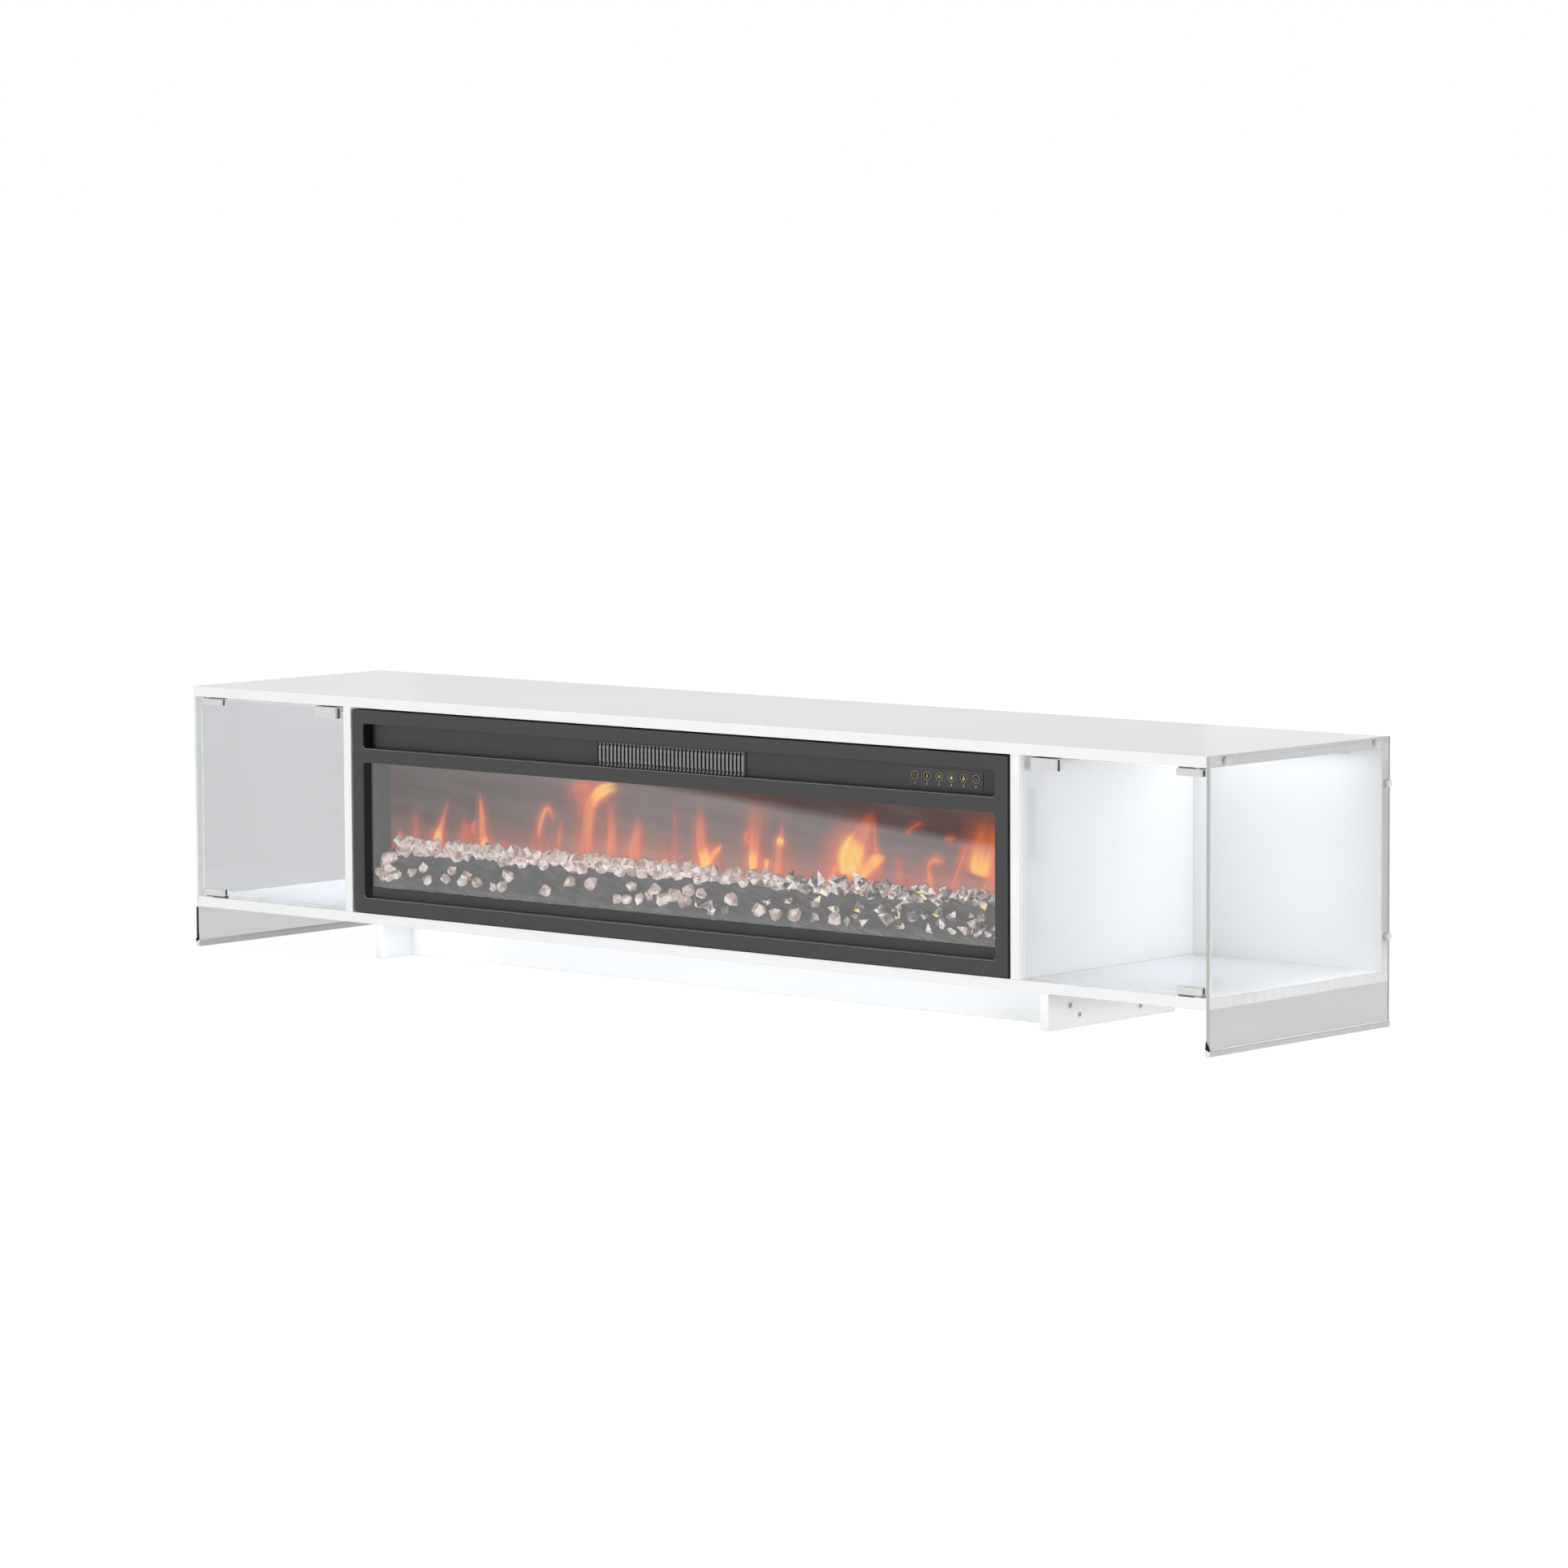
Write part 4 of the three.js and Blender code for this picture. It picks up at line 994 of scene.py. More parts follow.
# %% Flame ribbons
tongues = [
    [(-589, 156, 10, 0.5), (-589, 170, 8, 0.6), (-591, 184, 4, 0.5), (-592, 195, 1, 0.2)],
    [(-516, 166, 12, 1), (-513, 186, 10, 0.9), (-507, 200, 6, 0.7), (-499, 222, 3, 0.4), (-493, 236, 2, 0.3),
     (-488, 252, 1, 0.1)],
    [(-415, 162, 11, 1), (-419, 181, 11, 0.9), (-423, 198, 8, 0.6), (-424, 219, 6, 0.6), (-426, 237, 4, 0.6),
     (-428, 254, 4, 0.2), (-431, 276, 2, 0.1)],
    [(-435, 194, 4, 0.3), (-442, 202, 5, 0.5), (-439, 211, 3, 0.4), (-435, 219, 1, 0.2)],
    [(-311, 190, 4, 0.3), (-310, 209, 5, 0.6), (-304, 227, 5, 0.7), (-295, 239, 5, 0.6), (-286, 233, 4, 0.4),
     (-281, 218, 4, 0.2), (-280, 195, 3, 0.1)],
    [(-273, 180, 3, 0.3), (-271, 201, 3, 0.5), (-267, 217, 2, 0.3), (-261, 236, 1, 0.1)],
    [(-217, 172, 15, 0.5), (-217, 198, 14, 0.5), (-214, 222, 13, 0.6), (-209, 247, 12, 0.7), (-198, 263, 12, 0.9),
     (-180, 273, 12, 1), (-159, 279, 9, 0.8), (-152, 284, 2, 0.3)],
    [(-171, 175, 12, 0.4), (-169, 201, 11, 0.5), (-169, 225, 9, 0.4), (-171, 249, 7, 0.3), (-175, 266, 5, 0.1)],
    [(-212, 232, 15, 0.15), (-221, 258, 20, 0.3), (-228, 278, 22, 0.42), (-232, 292, 20, 0.4)],
    [(-124, 174, 15, 0.4), (-124, 197, 13, 0.5), (-120, 214, 9, 0.6), (-117, 232, 6, 0.3), (-115, 252, 3, 0.1)],
    [(-48, 175, 6, 0.2), (-48, 202, 7, 0.25), (-47, 219, 5, 0.15), (-48, 246, 4, 0.15), (-49, 263, 2, 0.05)],
    [(13, 170, 13, 1), (9, 192, 14, 0.9), (3, 208, 12, 0.6), (1, 229, 10, 0.5), (1, 253, 8, 0.3),
     (-1, 278, 5, 0.1)],
    [(10, 172, 6, 0.9), (20, 189, 6, 0.8), (29, 199, 6, 0.8), (39, 207, 4, 0.7), (44, 209, 1, 0.3)],
    [(100, 174, 10, 0.9), (100, 194, 11, 0.9), (101, 211, 11, 0.6), (103, 234, 13, 0.4), (107, 260, 17, 0.3),
     (111, 283, 15, 0.1)],
    [(98, 214, 4, 0.3), (86, 221, 5, 0.4), (91, 233, 3, 0.3), (93, 244, 1, 0.1)],
    [(145, 168, 12, 0.7), (146, 191, 8, 0.6), (147, 211, 7, 0.6), (150, 222, 8, 1), (152, 231, 4, 0.6),
     (153, 249, 3, 0.3), (155, 270, 2, 0.1)],
    [(131, 160, 11, 1), (126, 175, 6, 1), (124, 187, 5, 0.9), (125, 195, 6, 0.8), (125, 200, 1, 0.5)],
    [(284, 180, 16, 0.9), (283, 190, 29, 1), (281, 205, 31, 1), (287, 221, 27, 0.95), (298, 238, 19, 0.6),
     (308, 255, 12, 0.5), (316, 270, 8, 0.4), (320, 284, 3, 0.25)],
    [(284, 158, 19, 0.5), (282, 177, 15, 0.6), (279, 194, 14, 0.9)],
    [(290, 162, 7, 0.8), (299, 181, 7, 0.9), (310, 195, 11, 0.8), (324, 206, 12, 0.9), (339, 211, 4, 0.7),
     (345, 213, 1, 0.4)],
    [(332, 205, 4, 0.6), (323, 223, 4, 0.5), (321, 237, 3, 0.4), (321, 259, 2, 0.3), (322, 281, 1, 0.2)],
    [(236, 168, 5, 0.7), (246, 183, 5, 0.6), (255, 193, 4, 0.5), (261, 202, 1, 0.3)],
    [(376, 243, 2, 0.1), (382, 250, 3, 0.3), (392, 257, 3, 0.4), (403, 262, 3, 0.3), (415, 267, 1, 0.1)],
    [(443, 244, 1, 0.2), (454, 244, 4, 0.4), (462, 246, 3, 0.3), (471, 248, 1, 0.1)],
    [(421, 164, 6, 0.4), (420, 187, 6, 0.6), (417, 201, 5, 0.5), (422, 213, 5, 0.7), (428, 222, 2, 0.5)],
    [(422, 215, 4, 0.6), (431, 213, 5, 0.7), (442, 212, 4, 0.4), (451, 212, 1, 0.2)],
    [(506, 195, 14, 0.6), (508, 205, 24, 0.95), (513, 224, 26, 0.8), (520, 244, 25, 0.55), (528, 263, 23, 0.45),
     (540, 283, 18, 0.35)],
    [(454, 168, 2, 0.3), (466, 196, 3, 0.5), (475, 216, 3, 0.5), (484, 236, 3, 0.4), (493, 252, 1, 0.2)],
    [(365, 160, 9, 0.2), (365, 186, 9, 0.25), (365, 206, 8, 0.2), (361, 224, 6, 0.1)],
    [(518, 165, 16, 0.4), (527, 197, 12, 0.35), (532, 220, 7, 0.2)],
    [(-598, 148, 9, 0.3), (-600, 162, 8, 0.2), (-601, 178, 5, 0.1)],
]
screen_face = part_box("flame_screen")[0][1]
ribbon_rows, ribbon_columns = 36, 11
ribbon_swell, least_half = 1.32, 0.4
halo_swell, halo_margin, halo_heat = 1.7, 7 * mm, 0.36
first_gap, layer_gap, layer_count = 0.3, 0.04, 12
wisp_count, wisp_foot = 48, 160


def ribbon(tongue, layer, halo):
    """One ribbon's points, with u and v over it, and its heat. A halo is the same ribbon, wider and fainter."""
    curve = smooth_through(tongue, ribbon_rows)
    middle, heat = curve[:, :2] * mm, np.clip(curve[:, 3], 0.02, 1)
    half = np.maximum(curve[:, 2], least_half) * ribbon_swell * mm
    if halo:
        half, heat = half * halo_swell + halo_margin, heat * halo_heat
    along = np.gradient(middle, axis=0)
    along /= np.linalg.norm(along, axis=1)[:, None]
    across = np.linspace(-1, 1, ribbon_columns)
    grid = np.zeros((ribbon_rows, ribbon_columns, 3))
    grid[..., 0] = middle[:, :1] + (half * along[:, 1])[:, None] * across
    grid[..., 2] = middle[:, 1:] - (half * along[:, 0])[:, None] * across
    grid[..., 1] = screen_face - (first_gap + layer_gap * layer) * mm
    u, v = np.meshgrid((across + 1) / 2, np.linspace(0, 1, ribbon_rows))
    return grid, np.stack([u, v], -1), np.repeat(heat[:, None], ribbon_columns, 1)


def wisps(dice):
    """Small faint tongues along the whole bed: each has four places going up with a random lean."""
    x = dice.uniform(-560, 590, wisp_count)
    length = dice.uniform(22, 75, wisp_count)
    lean = dice.uniform(-0.35, 0.35, wisp_count) * length
    wide, heat = dice.uniform(4, 12, wisp_count), dice.uniform(0.08, 0.32, wisp_count)
    share = np.array([0, 0.33, 0.7, 1])[:, None]
    rows = [x + lean * share ** 2 + 2 * np.sin(share * 5 + x), wisp_foot + length * share + 0 * x,
            wide * (1 - share) ** 0.6 + 0.6, heat * (1 - share * 0.8)]
    return np.stack(rows, -1).swapaxes(0, 1)


def flame_finish():
    material, place = start("flame_light")
    u, v, _ = place.add("UVMap", {"uv_map": "sheet"}).parts()
    heat = place.add("Attribute", {"attribute_name": "tongue_heat"}).out("Fac")
    x = place.parts()[0]
    thread = noise(place.add("CombineXYZ", X=u * 3.2 + x * 9, Y=v * 0.9, Z=x * 3), 1.6, 3.0)
    wisp = grain(place, (60, 60, 25))
    from_left, from_right = u.soft(0.0, 0.34), 1 - u.soft(0.58, 1.0)
    body = from_left * from_right
    rim = u.soft(0.1, 0.2) * (1 - u.soft(0.22, 0.36))
    fade = v.soft(0.0, 0.1) * (1 - v.soft(0.6, 1.0))
    core = heat.soft(0.65, 1.0) * body * body
    solid = body * fade * ((heat * 0.85 + 0.1) * (thread * 0.9 + 0.45) * (wisp * 0.7 + 0.6) + core * 0.45)
    glow = (heat * 0.72 + 0.05) * (body * 0.7 + 0.3) + (thread - 0.5) * 0.34 + rim * heat * 0.12 + core * 0.16
    light = glow.ramp((0.0, (0.55, 0.05, 0.02)), (0.25, (0.95, 0.16, 0.05)), (0.5, (1.0, 0.27, 0.08)),
                      (0.75, (1.0, 0.42, 0.07)), (1.0, (1.0, 0.68, 0.12)))
    return light_over_clear(material, place, solid.maths("MINIMUM", solid, 0.88), light, 1.1)


all_tongues = tongues + wisps(np.random.default_rng(3)).tolist()
pieces = [ribbon(tongue, i % layer_count + (0 if halo else layer_count + 1), halo)
          for halo in (True, False) for i, tongue in enumerate(all_tongues)]
grids, flat_places, heats = (np.array(part) for part in zip(*pieces))
flames = skin("flames", grids, uv=flat_places, smooth=True, tongue_heat=heats)
shown(flames, "cabinet", "frosted_acrylic", flame_finish())
print("flame ribbons:", len(pieces))

# %% [markdown]
# ## The bed of crystals
#
# Broken glass crystals lie on a dark sloping mat. Most make a ridge along the top of the slope, against the
# screen, and some have rolled down. On the left they are milky and pinkish, on the right clear, with
# facets that are bright, dark or yellow. A crystal is a short point with five sides, or four where it is clear:
# four rings of places, closed at both ends, with every ring a little uneven, and turned at random.

# %% Mat under the crystals
tray_low, tray_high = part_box("crystal_bed")
mat_front = np.array([tray_low[1], 111.4 * mm])
mat_back = np.array([tray_high[1], 166 * mm])
tray_back = np.array([tray_high[1], 150.6 * mm])
mat_half = tray_high[0]
mat_sag = 1.2
lowest_share, highest_share = 0.01, 0.985


def mat_point(x, share, lift):
    """The place on the mat at x and this share of the way up the slope, lifted off it at a right angle."""
    run = mat_back - mat_front
    out = np.array([-run[1], run[0]]) / np.linalg.norm(run)
    x, share, lift = np.broadcast_arrays(x, share, lift)
    flat = mat_front + share[..., None] * run + lift[..., None] * out
    return np.stack([x, flat[..., 0], flat[..., 1]], -1)


def mat_grid(rows=160, columns=16):
    """Rows along x. Each row goes up the slope on top and comes back underneath on the tray, so the mat is a
    closed wedge, thicker at the back."""
    x = np.linspace(-mat_half, mat_half, rows)[:, None]
    under = np.array([highest_share, lowest_share])
    share = np.concatenate([np.linspace(lowest_share, highest_share, columns), under])[None, :]
    swell = 0.5 * np.sin(x * 61 + share * 9) + 0.4 * np.sin(x * 143 - share * 14 + 1)
    lift = np.where(np.arange(columns + 2) < columns, 0.2 + 0.35 * swell, -mat_sag) * mm
    sheet = np.stack(np.broadcast_arrays(x, share * np.linalg.norm(mat_back - mat_front)), -1)
    points = mat_point(x, share, lift)
    points[:, columns:, 1:] = mat_front + under[:, None] * (tray_back - mat_front) - [0, mat_sag * mm]
    return points[:, ::-1], sheet[:, ::-1]


def mat_finish():
    """Wool-like: fibres that run across the slope at a slant, soft grey patches, and a lighter front hem. It
    darkens towards the left end: painted shade.
    """
    material, place = start("ember_mat")
    sheet = place.add("UVMap", {"uv_map": "sheet"})
    x, up, _ = sheet.parts()
    fibre = grain(sheet, (30, 420, 1), 4.0, 0.6, (0, 0, -0.34))
    coarse = grain(sheet, (14, 130, 1), 3.0, 0.55, (0, 0, -0.3))
    patch = noise(sheet, 26, 3.0)
    hem = 1 - up.soft(8 * mm, 15 * mm)
    tone = (fibre * 0.4 + coarse * 0.3 + patch * 0.3 + hem * 0.07).ramp(
        (0.36, (0.05, 0.055, 0.06)), (0.47, (0.09, 0.097, 0.102)), (0.56, (0.16, 0.162, 0.164)),
        (0.7, (0.36, 0.35, 0.34)))
    # Painted shade: the mat is darker towards the left end.
    shade = x.soft(-0.6, 0.3).tint(tone.add("VectorMath", {"operation": "SCALE"}, in0=tone, Scale=0.66), tone)
    return finished(material, place, Base_Color=shade, Roughness=fibre.between(0.75, 0.9),
                    Normal=bumped(place, fibre, 0.5, 0.002))


mat_points, mat_sheet = mat_grid()
closed_piece("ember_mat", [mat_points], "crystal_glass", mat_finish(), smooth=True, uv=mat_sheet)
print("mat", round(mat_half * 2, 3), "m long")

# %% Where the crystals lie
rolled = [  # x in millimetres, share of the way up the slope, size in millimetres, clearness
    (-597, 0.46, 14, 0), (-594, 0.72, 14, 0), (-584, 0.33, 14, 0), (-583, 0.62, 14, 0), (-572, 0.31, 14, 0),
    (-560, 0.41, 14, 0), (-571, 0.52, 14, 0), (-532, 0.55, 13, 0), (-515, 0.72, 13, 0), (-492, 0.33, 14, 0),
    (-459, 0.42, 14, 0), (-457, 0.72, 13, 0), (-425, 0.39, 14, 0), (-423, 0.56, 14, 0), (-395, 0.40, 15, 0.1),
    (-362, 0.31, 11, 0), (-344, 0.36, 14, 0), (-343, 0.72, 16, 0), (-258, 0.34, 15, 0), (-222, 0.7, 15, 0),
    (-182, 0.72, 18, 0), (-117, 0.30, 13, 0), (-106, 0.78, 14, 0), (-98, 0.33, 14, 0), (-77, 0.39, 14, 0),
    (-63, 0.53, 15, 0), (-57, 0.72, 16, 0), (-33, 0.41, 18, 0), (-17, 0.57, 18, 0), (5, 0.75, 18, 0),
    (8, 0.43, 18, 0.1), (28, 0.75, 14, 0), (34, 0.41, 13, 0.9), (58, 0.35, 16, 1), (63, 0.20, 12, 0.8),
    (86, 0.29, 11, 1), (89, 0.59, 18, 0.2), (149, 0.36, 19, 0.3), (153, 0.70, 12, 1), (181, 0.31, 17, 0.3),
    (188, 0.8, 15, 1), (215, 0.30, 17, 0.3), (237, 0.78, 15, 0.8), (250, 0.34, 12, 1), (276, 0.66, 12, 1),
    (287, 0.33, 17, 0.3), (308, 0.33, 11, 1), (316, 0.52, 8, 0.9), (318, 0.76, 15, 0.7), (334, 0.35, 13, 1),
    (356, 0.76, 13, 1), (378, 0.48, 18, 1), (384, 0.8, 15, 1), (386, 0.66, 13, 1), (403, 0.33, 15, 1),
    (418, 0.66, 20, 0.8), (432, 0.76, 13, 0.9), (457, 0.8, 15, 1), (457, 0.35, 15, 1), (470, 0.50, 15, 1),
    (481, 0.74, 15, 1), (496, 0.32, 15, 1), (518, 0.36, 15, 1), (522, 0.65, 18, 1), (530, 0.82, 15, 1),
    (539, 0.33, 18, 1), (541, 0.58, 13, 1), (556, 0.36, 13, 1), (570, 0.5, 15, 1), (575, 0.3, 14, 1),
]
rolled_steepness = 0.69
radius_share, seat_share = 0.6, 0.72  # a stone's radius by its size, and its middle's height by its radius
stones_reach = 594
left_end, heap_middle, heap_width = -579, -505, 40
dice = np.random.default_rng(7)
ridge_count = 156
ridge_x = np.linspace(-596, 598, ridge_count) + dice.uniform(-4, 4, ridge_count)
upper = (np.arange(ridge_count) % 5) % 2 == 1
at_left_end = ridge_x < left_end
heap = np.exp(-((ridge_x - heap_middle) / heap_width) ** 2)
ridge_share = np.where(upper, 0.93, 0.92 + dice.uniform(-0.1, 0.05, ridge_count))
ridge_share = ridge_share - at_left_end * dice.uniform(0.05, 0.4, ridge_count)
ridge_size = dice.uniform(14, 20, ridge_count)
ridge_clear = np.clip((ridge_x - 60) / 160 + dice.uniform(-0.25, 0.25, ridge_count), 0, 1)
ridge_lift = np.where(upper & ~at_left_end, dice.uniform(8, 13, ridge_count) + 5 * heap, 0.0)
ridge_lift = ridge_lift + dice.uniform(0, 2, ridge_count)
ridge = np.column_stack([ridge_x, ridge_share, ridge_size, ridge_clear])
stones = np.concatenate([np.array(rolled) * [1, rolled_steepness, 1, 1], ridge])
lifts = np.concatenate([np.zeros(len(rolled)), ridge_lift])
stones[:, 0] = np.clip(stones[:, 0], -stones_reach, stones_reach)
radius = stones[:, 2] * radius_share * mm
seats = mat_point(stones[:, 0] * mm, stones[:, 1], radius * seat_share + lifts * mm)
print("crystals:", len(stones))


# %% Crystal shapes
def crystal_grids(seats, radius, sides, ring_radius, ring_height, dice):
    """Rings of a few places on each crystal's own axis, each place pushed in or out a little, then turned by a
    random unit quaternion and moved to its seat."""
    count, rings = len(seats), len(ring_radius)
    ring_radius = np.array(ring_radius)[None, :, None]
    ring_height = np.array(ring_height)[None, :, None]
    angle = np.arange(sides)[None, None, :] / sides * 2 * np.pi + dice.uniform(-0.3, 0.3, (count, 1, sides))
    reach = ring_radius * dice.uniform(0.75, 1.12, (count, 1, sides))
    reach = reach * dice.uniform(0.92, 1.05, (count, rings, sides))
    height = ring_height * dice.uniform(0.85, 1.15, (count, 1, 1))
    height = height + dice.uniform(-0.1, 0.1, (count, rings, sides)) * (ring_radius > 0.5)
    local = np.stack([reach * np.cos(angle), reach * np.sin(angle), height + 0 * reach], -1)
    w, i, j, k = dice.normal(size=(4, count))
    w, i, j, k = np.array([w, i, j, k]) / np.sqrt(w * w + i * i + j * j + k * k)
    turn = np.array([[1 - 2 * (j * j + k * k), 2 * (i * j - k * w), 2 * (i * k + j * w)],
                     [2 * (i * j + k * w), 1 - 2 * (i * i + k * k), 2 * (j * k - i * w)],
                     [2 * (i * k - j * w), 2 * (j * k + i * w), 1 - 2 * (i * i + j * j)]])
    spun = np.einsum("abn,nrsb->nrsa", turn, local)
    return spun * radius[:, None, None, None] + seats[:, None, None, :]


# %% Milky and clear crystals
def crystal_finish(name, tones, painted_glows, rough):
    """Each facet has a tone of its own, darker where it faces up and lighter where it faces down: painted
    shading. Cells with straight edges stand for the facets behind, seen through the stone. Small dark rings with
    a white middle are painted glints. The emission is painted light."""
    material, place = start(name)
    facet = place.add("Attribute", {"attribute_name": "facet"}).out("Fac")
    inner = place.add("TexVoronoi", Vector=place, Scale=170.0).out("Color").parts()[0]
    glint = place.add("TexVoronoi", Vector=place, Scale=72.0)
    vein = noise(place, 240, 3.0)
    value = facet * 0.6 + inner * 0.28 + vein * 0.12
    ring = (glint < 0.15) - (glint < 0.1)
    middle = glint < 0.1
    dark = ring * 0.92
    tone = middle.tint(dark.tint(value.ramp(*tones), 0.01), 0.98)
    glow = middle.tint(dark.tint(value.ramp(*painted_glows), 0.0), 0.6)
    return finished(material, place, Base_Color=tone, Roughness=vein.between(*rough), Emission_Color=glow,
                    Emission_Strength=1.0)


milky_crystal = crystal_finish(
    "milky_crystal",
    [(0.15, (0.4, 0.27, 0.24)), (0.38, (0.62, 0.5, 0.47)), (0.6, (0.78, 0.69, 0.66)),
     (0.82, (0.97, 0.94, 0.92))],
    [(0.15, (0.07, 0.04, 0.035)), (0.38, (0.16, 0.115, 0.105)), (0.6, (0.26, 0.205, 0.19)),
     (0.82, (0.42, 0.38, 0.36))],
    (0.12, 0.35))
# The clear crystals' dark, white and yellow tones are painted reflection and sparkle.
clear_crystal = crystal_finish(
    "clear_crystal",
    [(0.22, (0.06, 0.065, 0.065)), (0.36, (0.2, 0.19, 0.19)), (0.5, (0.42, 0.35, 0.335)),
     (0.66, (0.72, 0.66, 0.64)), (0.84, (0.98, 0.97, 0.96)), (0.845, (1.0, 0.78, 0.08))],
    [(0.22, 0.0), (0.36, (0.03, 0.025, 0.025)), (0.5, (0.13, 0.085, 0.075)), (0.66, (0.24, 0.215, 0.21)),
     (0.84, (0.6, 0.58, 0.57)), (0.845, (0.85, 0.6, 0.05))],
    (0.03, 0.12))
clear = stones[:, 3] >= 0.5
families = [  # name, which stones, sides, the radius and the height of each ring, finish, the node it stands for
    ("milky_crystals", ~clear, 5, [0.35, 1.0, 0.94, 0.06], [-0.85, -0.4, 0.3, 1.15], milky_crystal,
     ["crystal_bed"]),
    ("clear_crystals", clear, 4, [0.05, 1.05, 0.7, 0.04], [-0.9, -0.2, 0.35, 1.4], clear_crystal, []),
]
for name, which, sides, ring_radius, ring_height, finish, stands_for in families:
    grids = crystal_grids(seats[which], radius[which], sides, ring_radius, ring_height, dice)
    crystals = skin(name, grids, wrap=True, ends=True)
    shown(crystals, "cabinet", "crystal_glass", finish, stands_for=stands_for)
    count = len(crystals.data.polygons)
    normals = np.zeros(count * 3)
    crystals.data.polygons.foreach_get("normal", normals)
    # Painted shading: facets that face up get darker tones, and those that face down lighter ones.
    facet_shading = dice.uniform(0, 1, count) * 0.65 - normals[2::3] * 0.2
    facets = crystals.data.attributes.new("facet", "FLOAT", "FACE")
    facets.data.foreach_set("value", np.argsort(np.argsort(facet_shading)) / count)
    print(name, which.sum(), "with faces:", count)

# %% [markdown]
# ## Lights of the side bays
#
# Under the top board, at the back of each side bay, runs a strip of cool white lamps behind a diffuser. Only
# its underside gives light. The diffuser is a little brighter over each lamp.

# %% Lamp strips
lamp_pitch = 16.5 * mm


def strip_finish(name, strength, tone):
    material, place = start(name)
    under = facing(place, 2) < -0.5
    phase = place.parts()[0] * (2 * math.pi / lamp_pitch)
    lamps = phase.maths("SINE", phase) * 0.15 + 0.85
    speckle = noise(place, 900, 2.0)
    return finished(material, place, Base_Color=speckle.tint(0.8, 0.86), Roughness=speckle.between(0.35, 0.5),
                    Emission_Color=(under * lamps).tint(0.0, tone), Emission_Strength=strength)


for side, strength, tone in (("left", 22.0, (0.78, 0.88, 1.0)), ("right", 9.0, (0.84, 0.91, 1.0))):
    lamp_strip = strip_finish(side + "_lamp_strip", strength, tone)
    give(side + "_led_strip", lamp_strip)
    print(lamp_strip.name, strength)

# %% [markdown]
# ## Studio
#
# The object stands on a pale floor in a plain, soft studio. The camera sees a white background. Metal and
# glass see the same backdrop at a lower level, a light grey, as they do in the picture: there the glass
# darkens the white behind it. The floor keeps a little of the object's shadow.

# %% World
mirror_level = 0.68
ambient_level = 0.2


def mirror_share(path):
    """1 for a ray that came by a mirror or through glass and met nothing dull on its way, and 0 for others."""
    either = path.maths("MAXIMUM", path.out("Is Glossy Ray"), path.out("Is Transmission Ray"))
    return either * (path.out("Diffuse Depth") < 0.5)


world = bpy.data.worlds.new("studio")
scene.world = world
world.use_nodes = True
world.node_tree.nodes.clear()
path = Link(world.node_tree.nodes.new("ShaderNodeLightPath").outputs["Is Camera Ray"])
mirrored = mirror_share(path)
level_seen = path + (1 - path) * (mirrored * mirror_level + (1 - mirrored) * ambient_level)
sky = path.add("Background", Color=colour(1.0), Strength=level_seen)
path.add("OutputWorld", Surface=sky)
print("backdrop in mirrors:", mirror_level)

# %% Floor
floor_reach = 300
floor_dimmer = 0.03
bpy.ops.mesh.primitive_plane_add(size=floor_reach, location=(0, 0, 0))
floor = bpy.context.object
floor.name = "floor"
floor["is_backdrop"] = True
material, place = start("pale_floor")
path = place.add("LightPath")
mirrored = mirror_share(path)
across, along, _ = place.parts()
far = (across * across + along * along).soft(6.0, 60.0)
glow = path * (far * 0.05 + 0.95) + (1 - path) * mirrored * (mirror_level - floor_dimmer)
own = place.add("BsdfDiffuse", Color=path.tint(mirrored.tint(0.8, 0.03), 0.13))
shine = place.add("Emission", Color=colour(1.0), Strength=glow)
floor.data.materials.append(end(material, place, place.add("AddShader", in0=own, in1=shine)))
print("floor:", floor_reach, "m wide")

# %% [markdown]
# ## Cards for the mirrors
#
# The window is a mirror as well as a window. In the picture its lower part shows the pale floor, like a veil,
# and a long triangle at its upper right shows something dark. A dark card does that here: each of its
# corners lies where the camera sees it mirrored at one place of the window. A pale card on the left end wall
# of the window's opening and two far behind the stand give light back to mirrors. The camera sees no card.

# %% Mirror cards
def mirrored_at(x, z, depth):
    """The point at this depth (Y) that the camera sees mirrored in the window at (x, z): the line from the
    camera's mirror image through that place of the glass, carried on."""
    glass_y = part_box("window_glass")[0][1]
    image = np.array([camera_place[0], 2 * glass_y - camera_place[1], camera_place[2]])
    spot = np.array([x, glass_y, z])
    return image + (spot - image) * (depth - image[1]) / (glass_y - image[1])


def card_finish(name, level, edge=0.0):
    """Light of this level for rays that have met a mirror, and nothing for others. It fades in over the share
    edge of the card, from its lower side."""
    material, place = start(name)
    v = place.add("UVMap", {"uv_map": "sheet"}).parts()[1]
    mirrored = place.add("LightPath").out("Glossy Depth") > 0.5
    share = mirrored * v.soft(0.0, edge) if edge else mirrored
    return light_over_clear(material, place, share, colour(1.0), level)


def stage_card(name, corners, finish):
    card = skin(name, np.array(corners).reshape(2, 2, 3), uv=[[0, 0], [1, 0], [0, 1], [1, 1]])
    card.data.materials.append(finish)
    card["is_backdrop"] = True
    card.visible_camera = card.visible_diffuse = card.visible_shadow = False


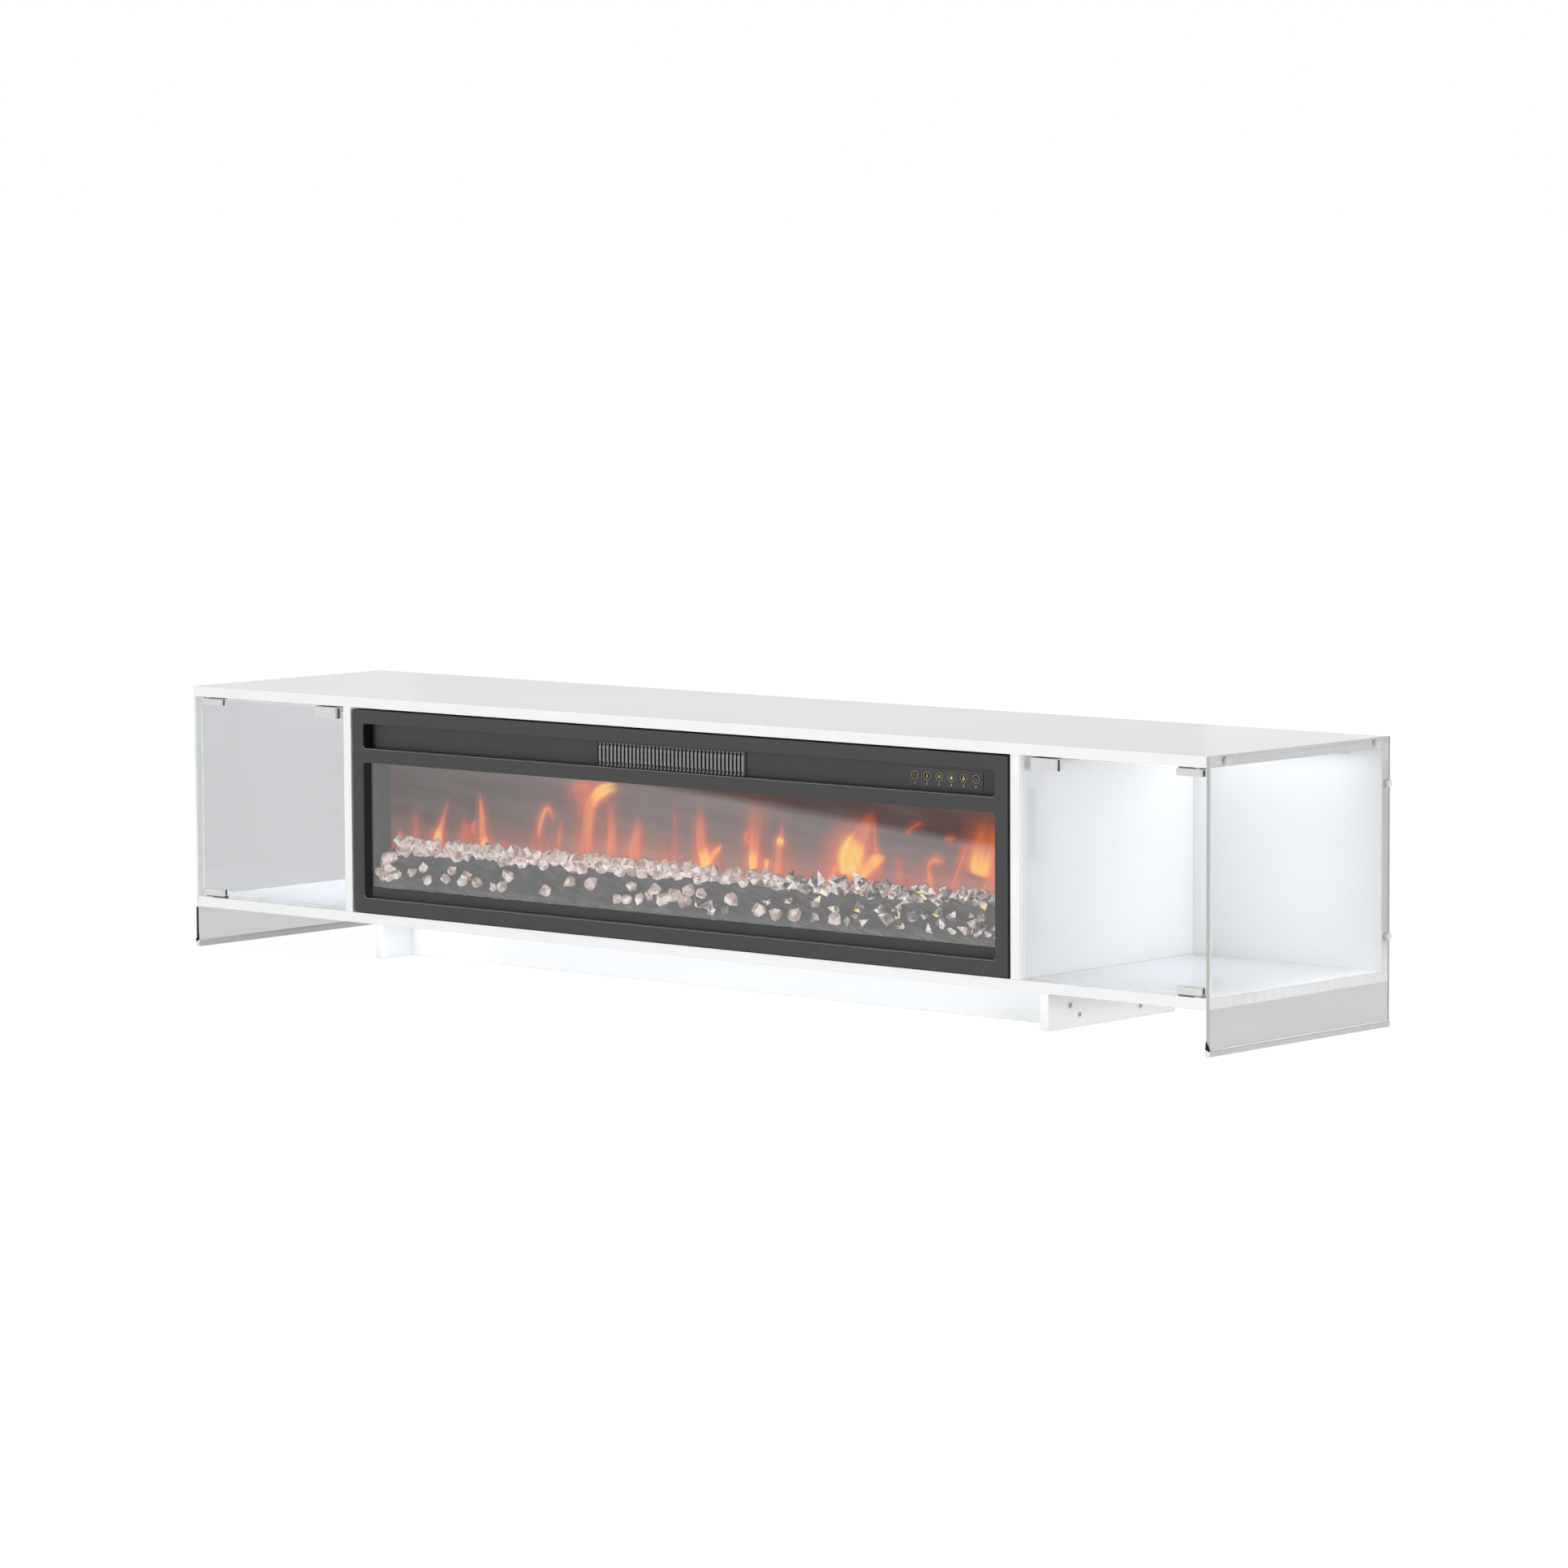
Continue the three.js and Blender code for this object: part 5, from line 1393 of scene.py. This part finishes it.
card_depth = -1.2
card_in_window = [(-0.17, 0.296), (0.66, 0.232), (-0.17, 0.33), (0.66, 0.33)]
corners = [mirrored_at(x, z, card_depth) for x, z in card_in_window]
stage_card("window_card", corners, card_finish("dark_card", 0.02, 0.16))
wall_x, wall_heights, wall_depths = -592.1 * mm, (97 * mm, 293.8 * mm), (-195 * mm, -179.8 * mm)
stage_card("return_card", [(wall_x, y, z) for z in wall_heights for y in wall_depths],
           card_finish("pale_card", mirror_level))
backdrop_depth, backdrop_top = 20, 8.0
backdrops = [("left_backdrop", -25.7, -20.7, 0.73), ("right_backdrop", -14.7, -12.0, 0.78)]
for name, low_x, high_x, level in backdrops:
    stage_card(name, [(x, backdrop_depth, z) for z in (0.0, backdrop_top) for x in (low_x, high_x)],
               card_finish(name, level))
print("card corners:", np.round(corners, 2).tolist())


# %% Lamps
def lamp(name, place, target, size, height, power, tone=(1, 1, 1), spread=180):
    """A rectangular soft lamp at place that faces target, with a spread in degrees. No camera or mirror sees
    it."""
    data = bpy.data.lights.new(name, "AREA")
    data.shape = "RECTANGLE"
    data.size, data.size_y, data.energy, data.color = size, height, power, tone
    data.spread = math.radians(spread)
    holder = placed(name, data)
    back = np.array(place, float) - np.array(target, float)
    back /= np.linalg.norm(back)
    side = np.cross([0, 0, 1], back)
    side /= np.linalg.norm(side)
    matrix = np.eye(4)
    matrix[:3, :] = np.column_stack([side, np.cross(back, side), back, place])
    holder.matrix_world = Matrix(matrix.tolist())
    holder.visible_camera = holder.visible_glossy = holder.visible_transmission = False


cool, pale_cool = (0.84, 0.92, 1), (0.85, 0.93, 1)
end_out, end_in = 1.0, 0.945
lamp("overhead_lamp", (0, 0.2, 4), (0, 0, 0.2), 4, 3, 128)
lamp("front_low_lamp", (-0.5, -5.2, 0.5), (0, 0, 0.1), 4, 0.8, 66)
lamp("left_low_lamp", (-6, -2.2, 0.5), (-0.6, 0, 0.1), 3, 0.8, 50)
for side, name in ((-1, "left"), (1, "right")):
    out_x, in_x = end_out * side, end_in * side
    lamp(name + "_upper_end_lamp", (out_x, 0, 0.3), (in_x, 0, 0.38), 0.4, 0.03, 0.08, spread=80)
    lamp(name + "_lower_end_lamp", (out_x, 0, 0.13), (in_x, 0, 0.07), 0.4, 0.03, 0.13, spread=80)
    lamp(name + "_rear_end_lamp", (out_x, 0.235, 0.22), (in_x, 0.188, 0.22), 0.03, 0.28, 0.012, spread=70)
lamp("floor_lamp", (0, -1.6, 0.05), (0, -0.1, 0.05), 3, 0.08, 6.6)
lamp("right_low_lamp", (6, -1.6, 0.5), (0.6, 0, 0.1), 3, 0.8, 150)
for name, x, power in (("left_bay_lamp", -0.79, 0.32), ("right_bay_lamp", 0.79, 0.14)):
    lamp(name, (x, 0.001, 0.364), (x, 0, 0.1), 0.27, 0.3, power, cool, 85)
lamp("right_wall_lamp", (0.86, -0.12, 0.2), (0.87, 0.18, 0.2), 0.2, 0.15, 0.052, cool, 80)
lamp("back_lamp", (0, 5, 1.2), (0, 0, 0.2), 4, 1.5, 90)
lamp("recess_lamp", (0, -0.19, 0.05), (0, -0.07, 0.03), 1.25, 0.015, 0.14, pale_cool)
lamp("left_recess_lamp", (-0.5, -0.17, 0.04), (-0.62, -0.115, 0.03), 0.06, 0.02, 0.02, pale_cool)
lamp("right_recess_lamp", (0.85, 0, 0.05), (0.63, 0, 0.03), 0.28, 0.015, 0.085)

# %% Sizes
low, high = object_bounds()
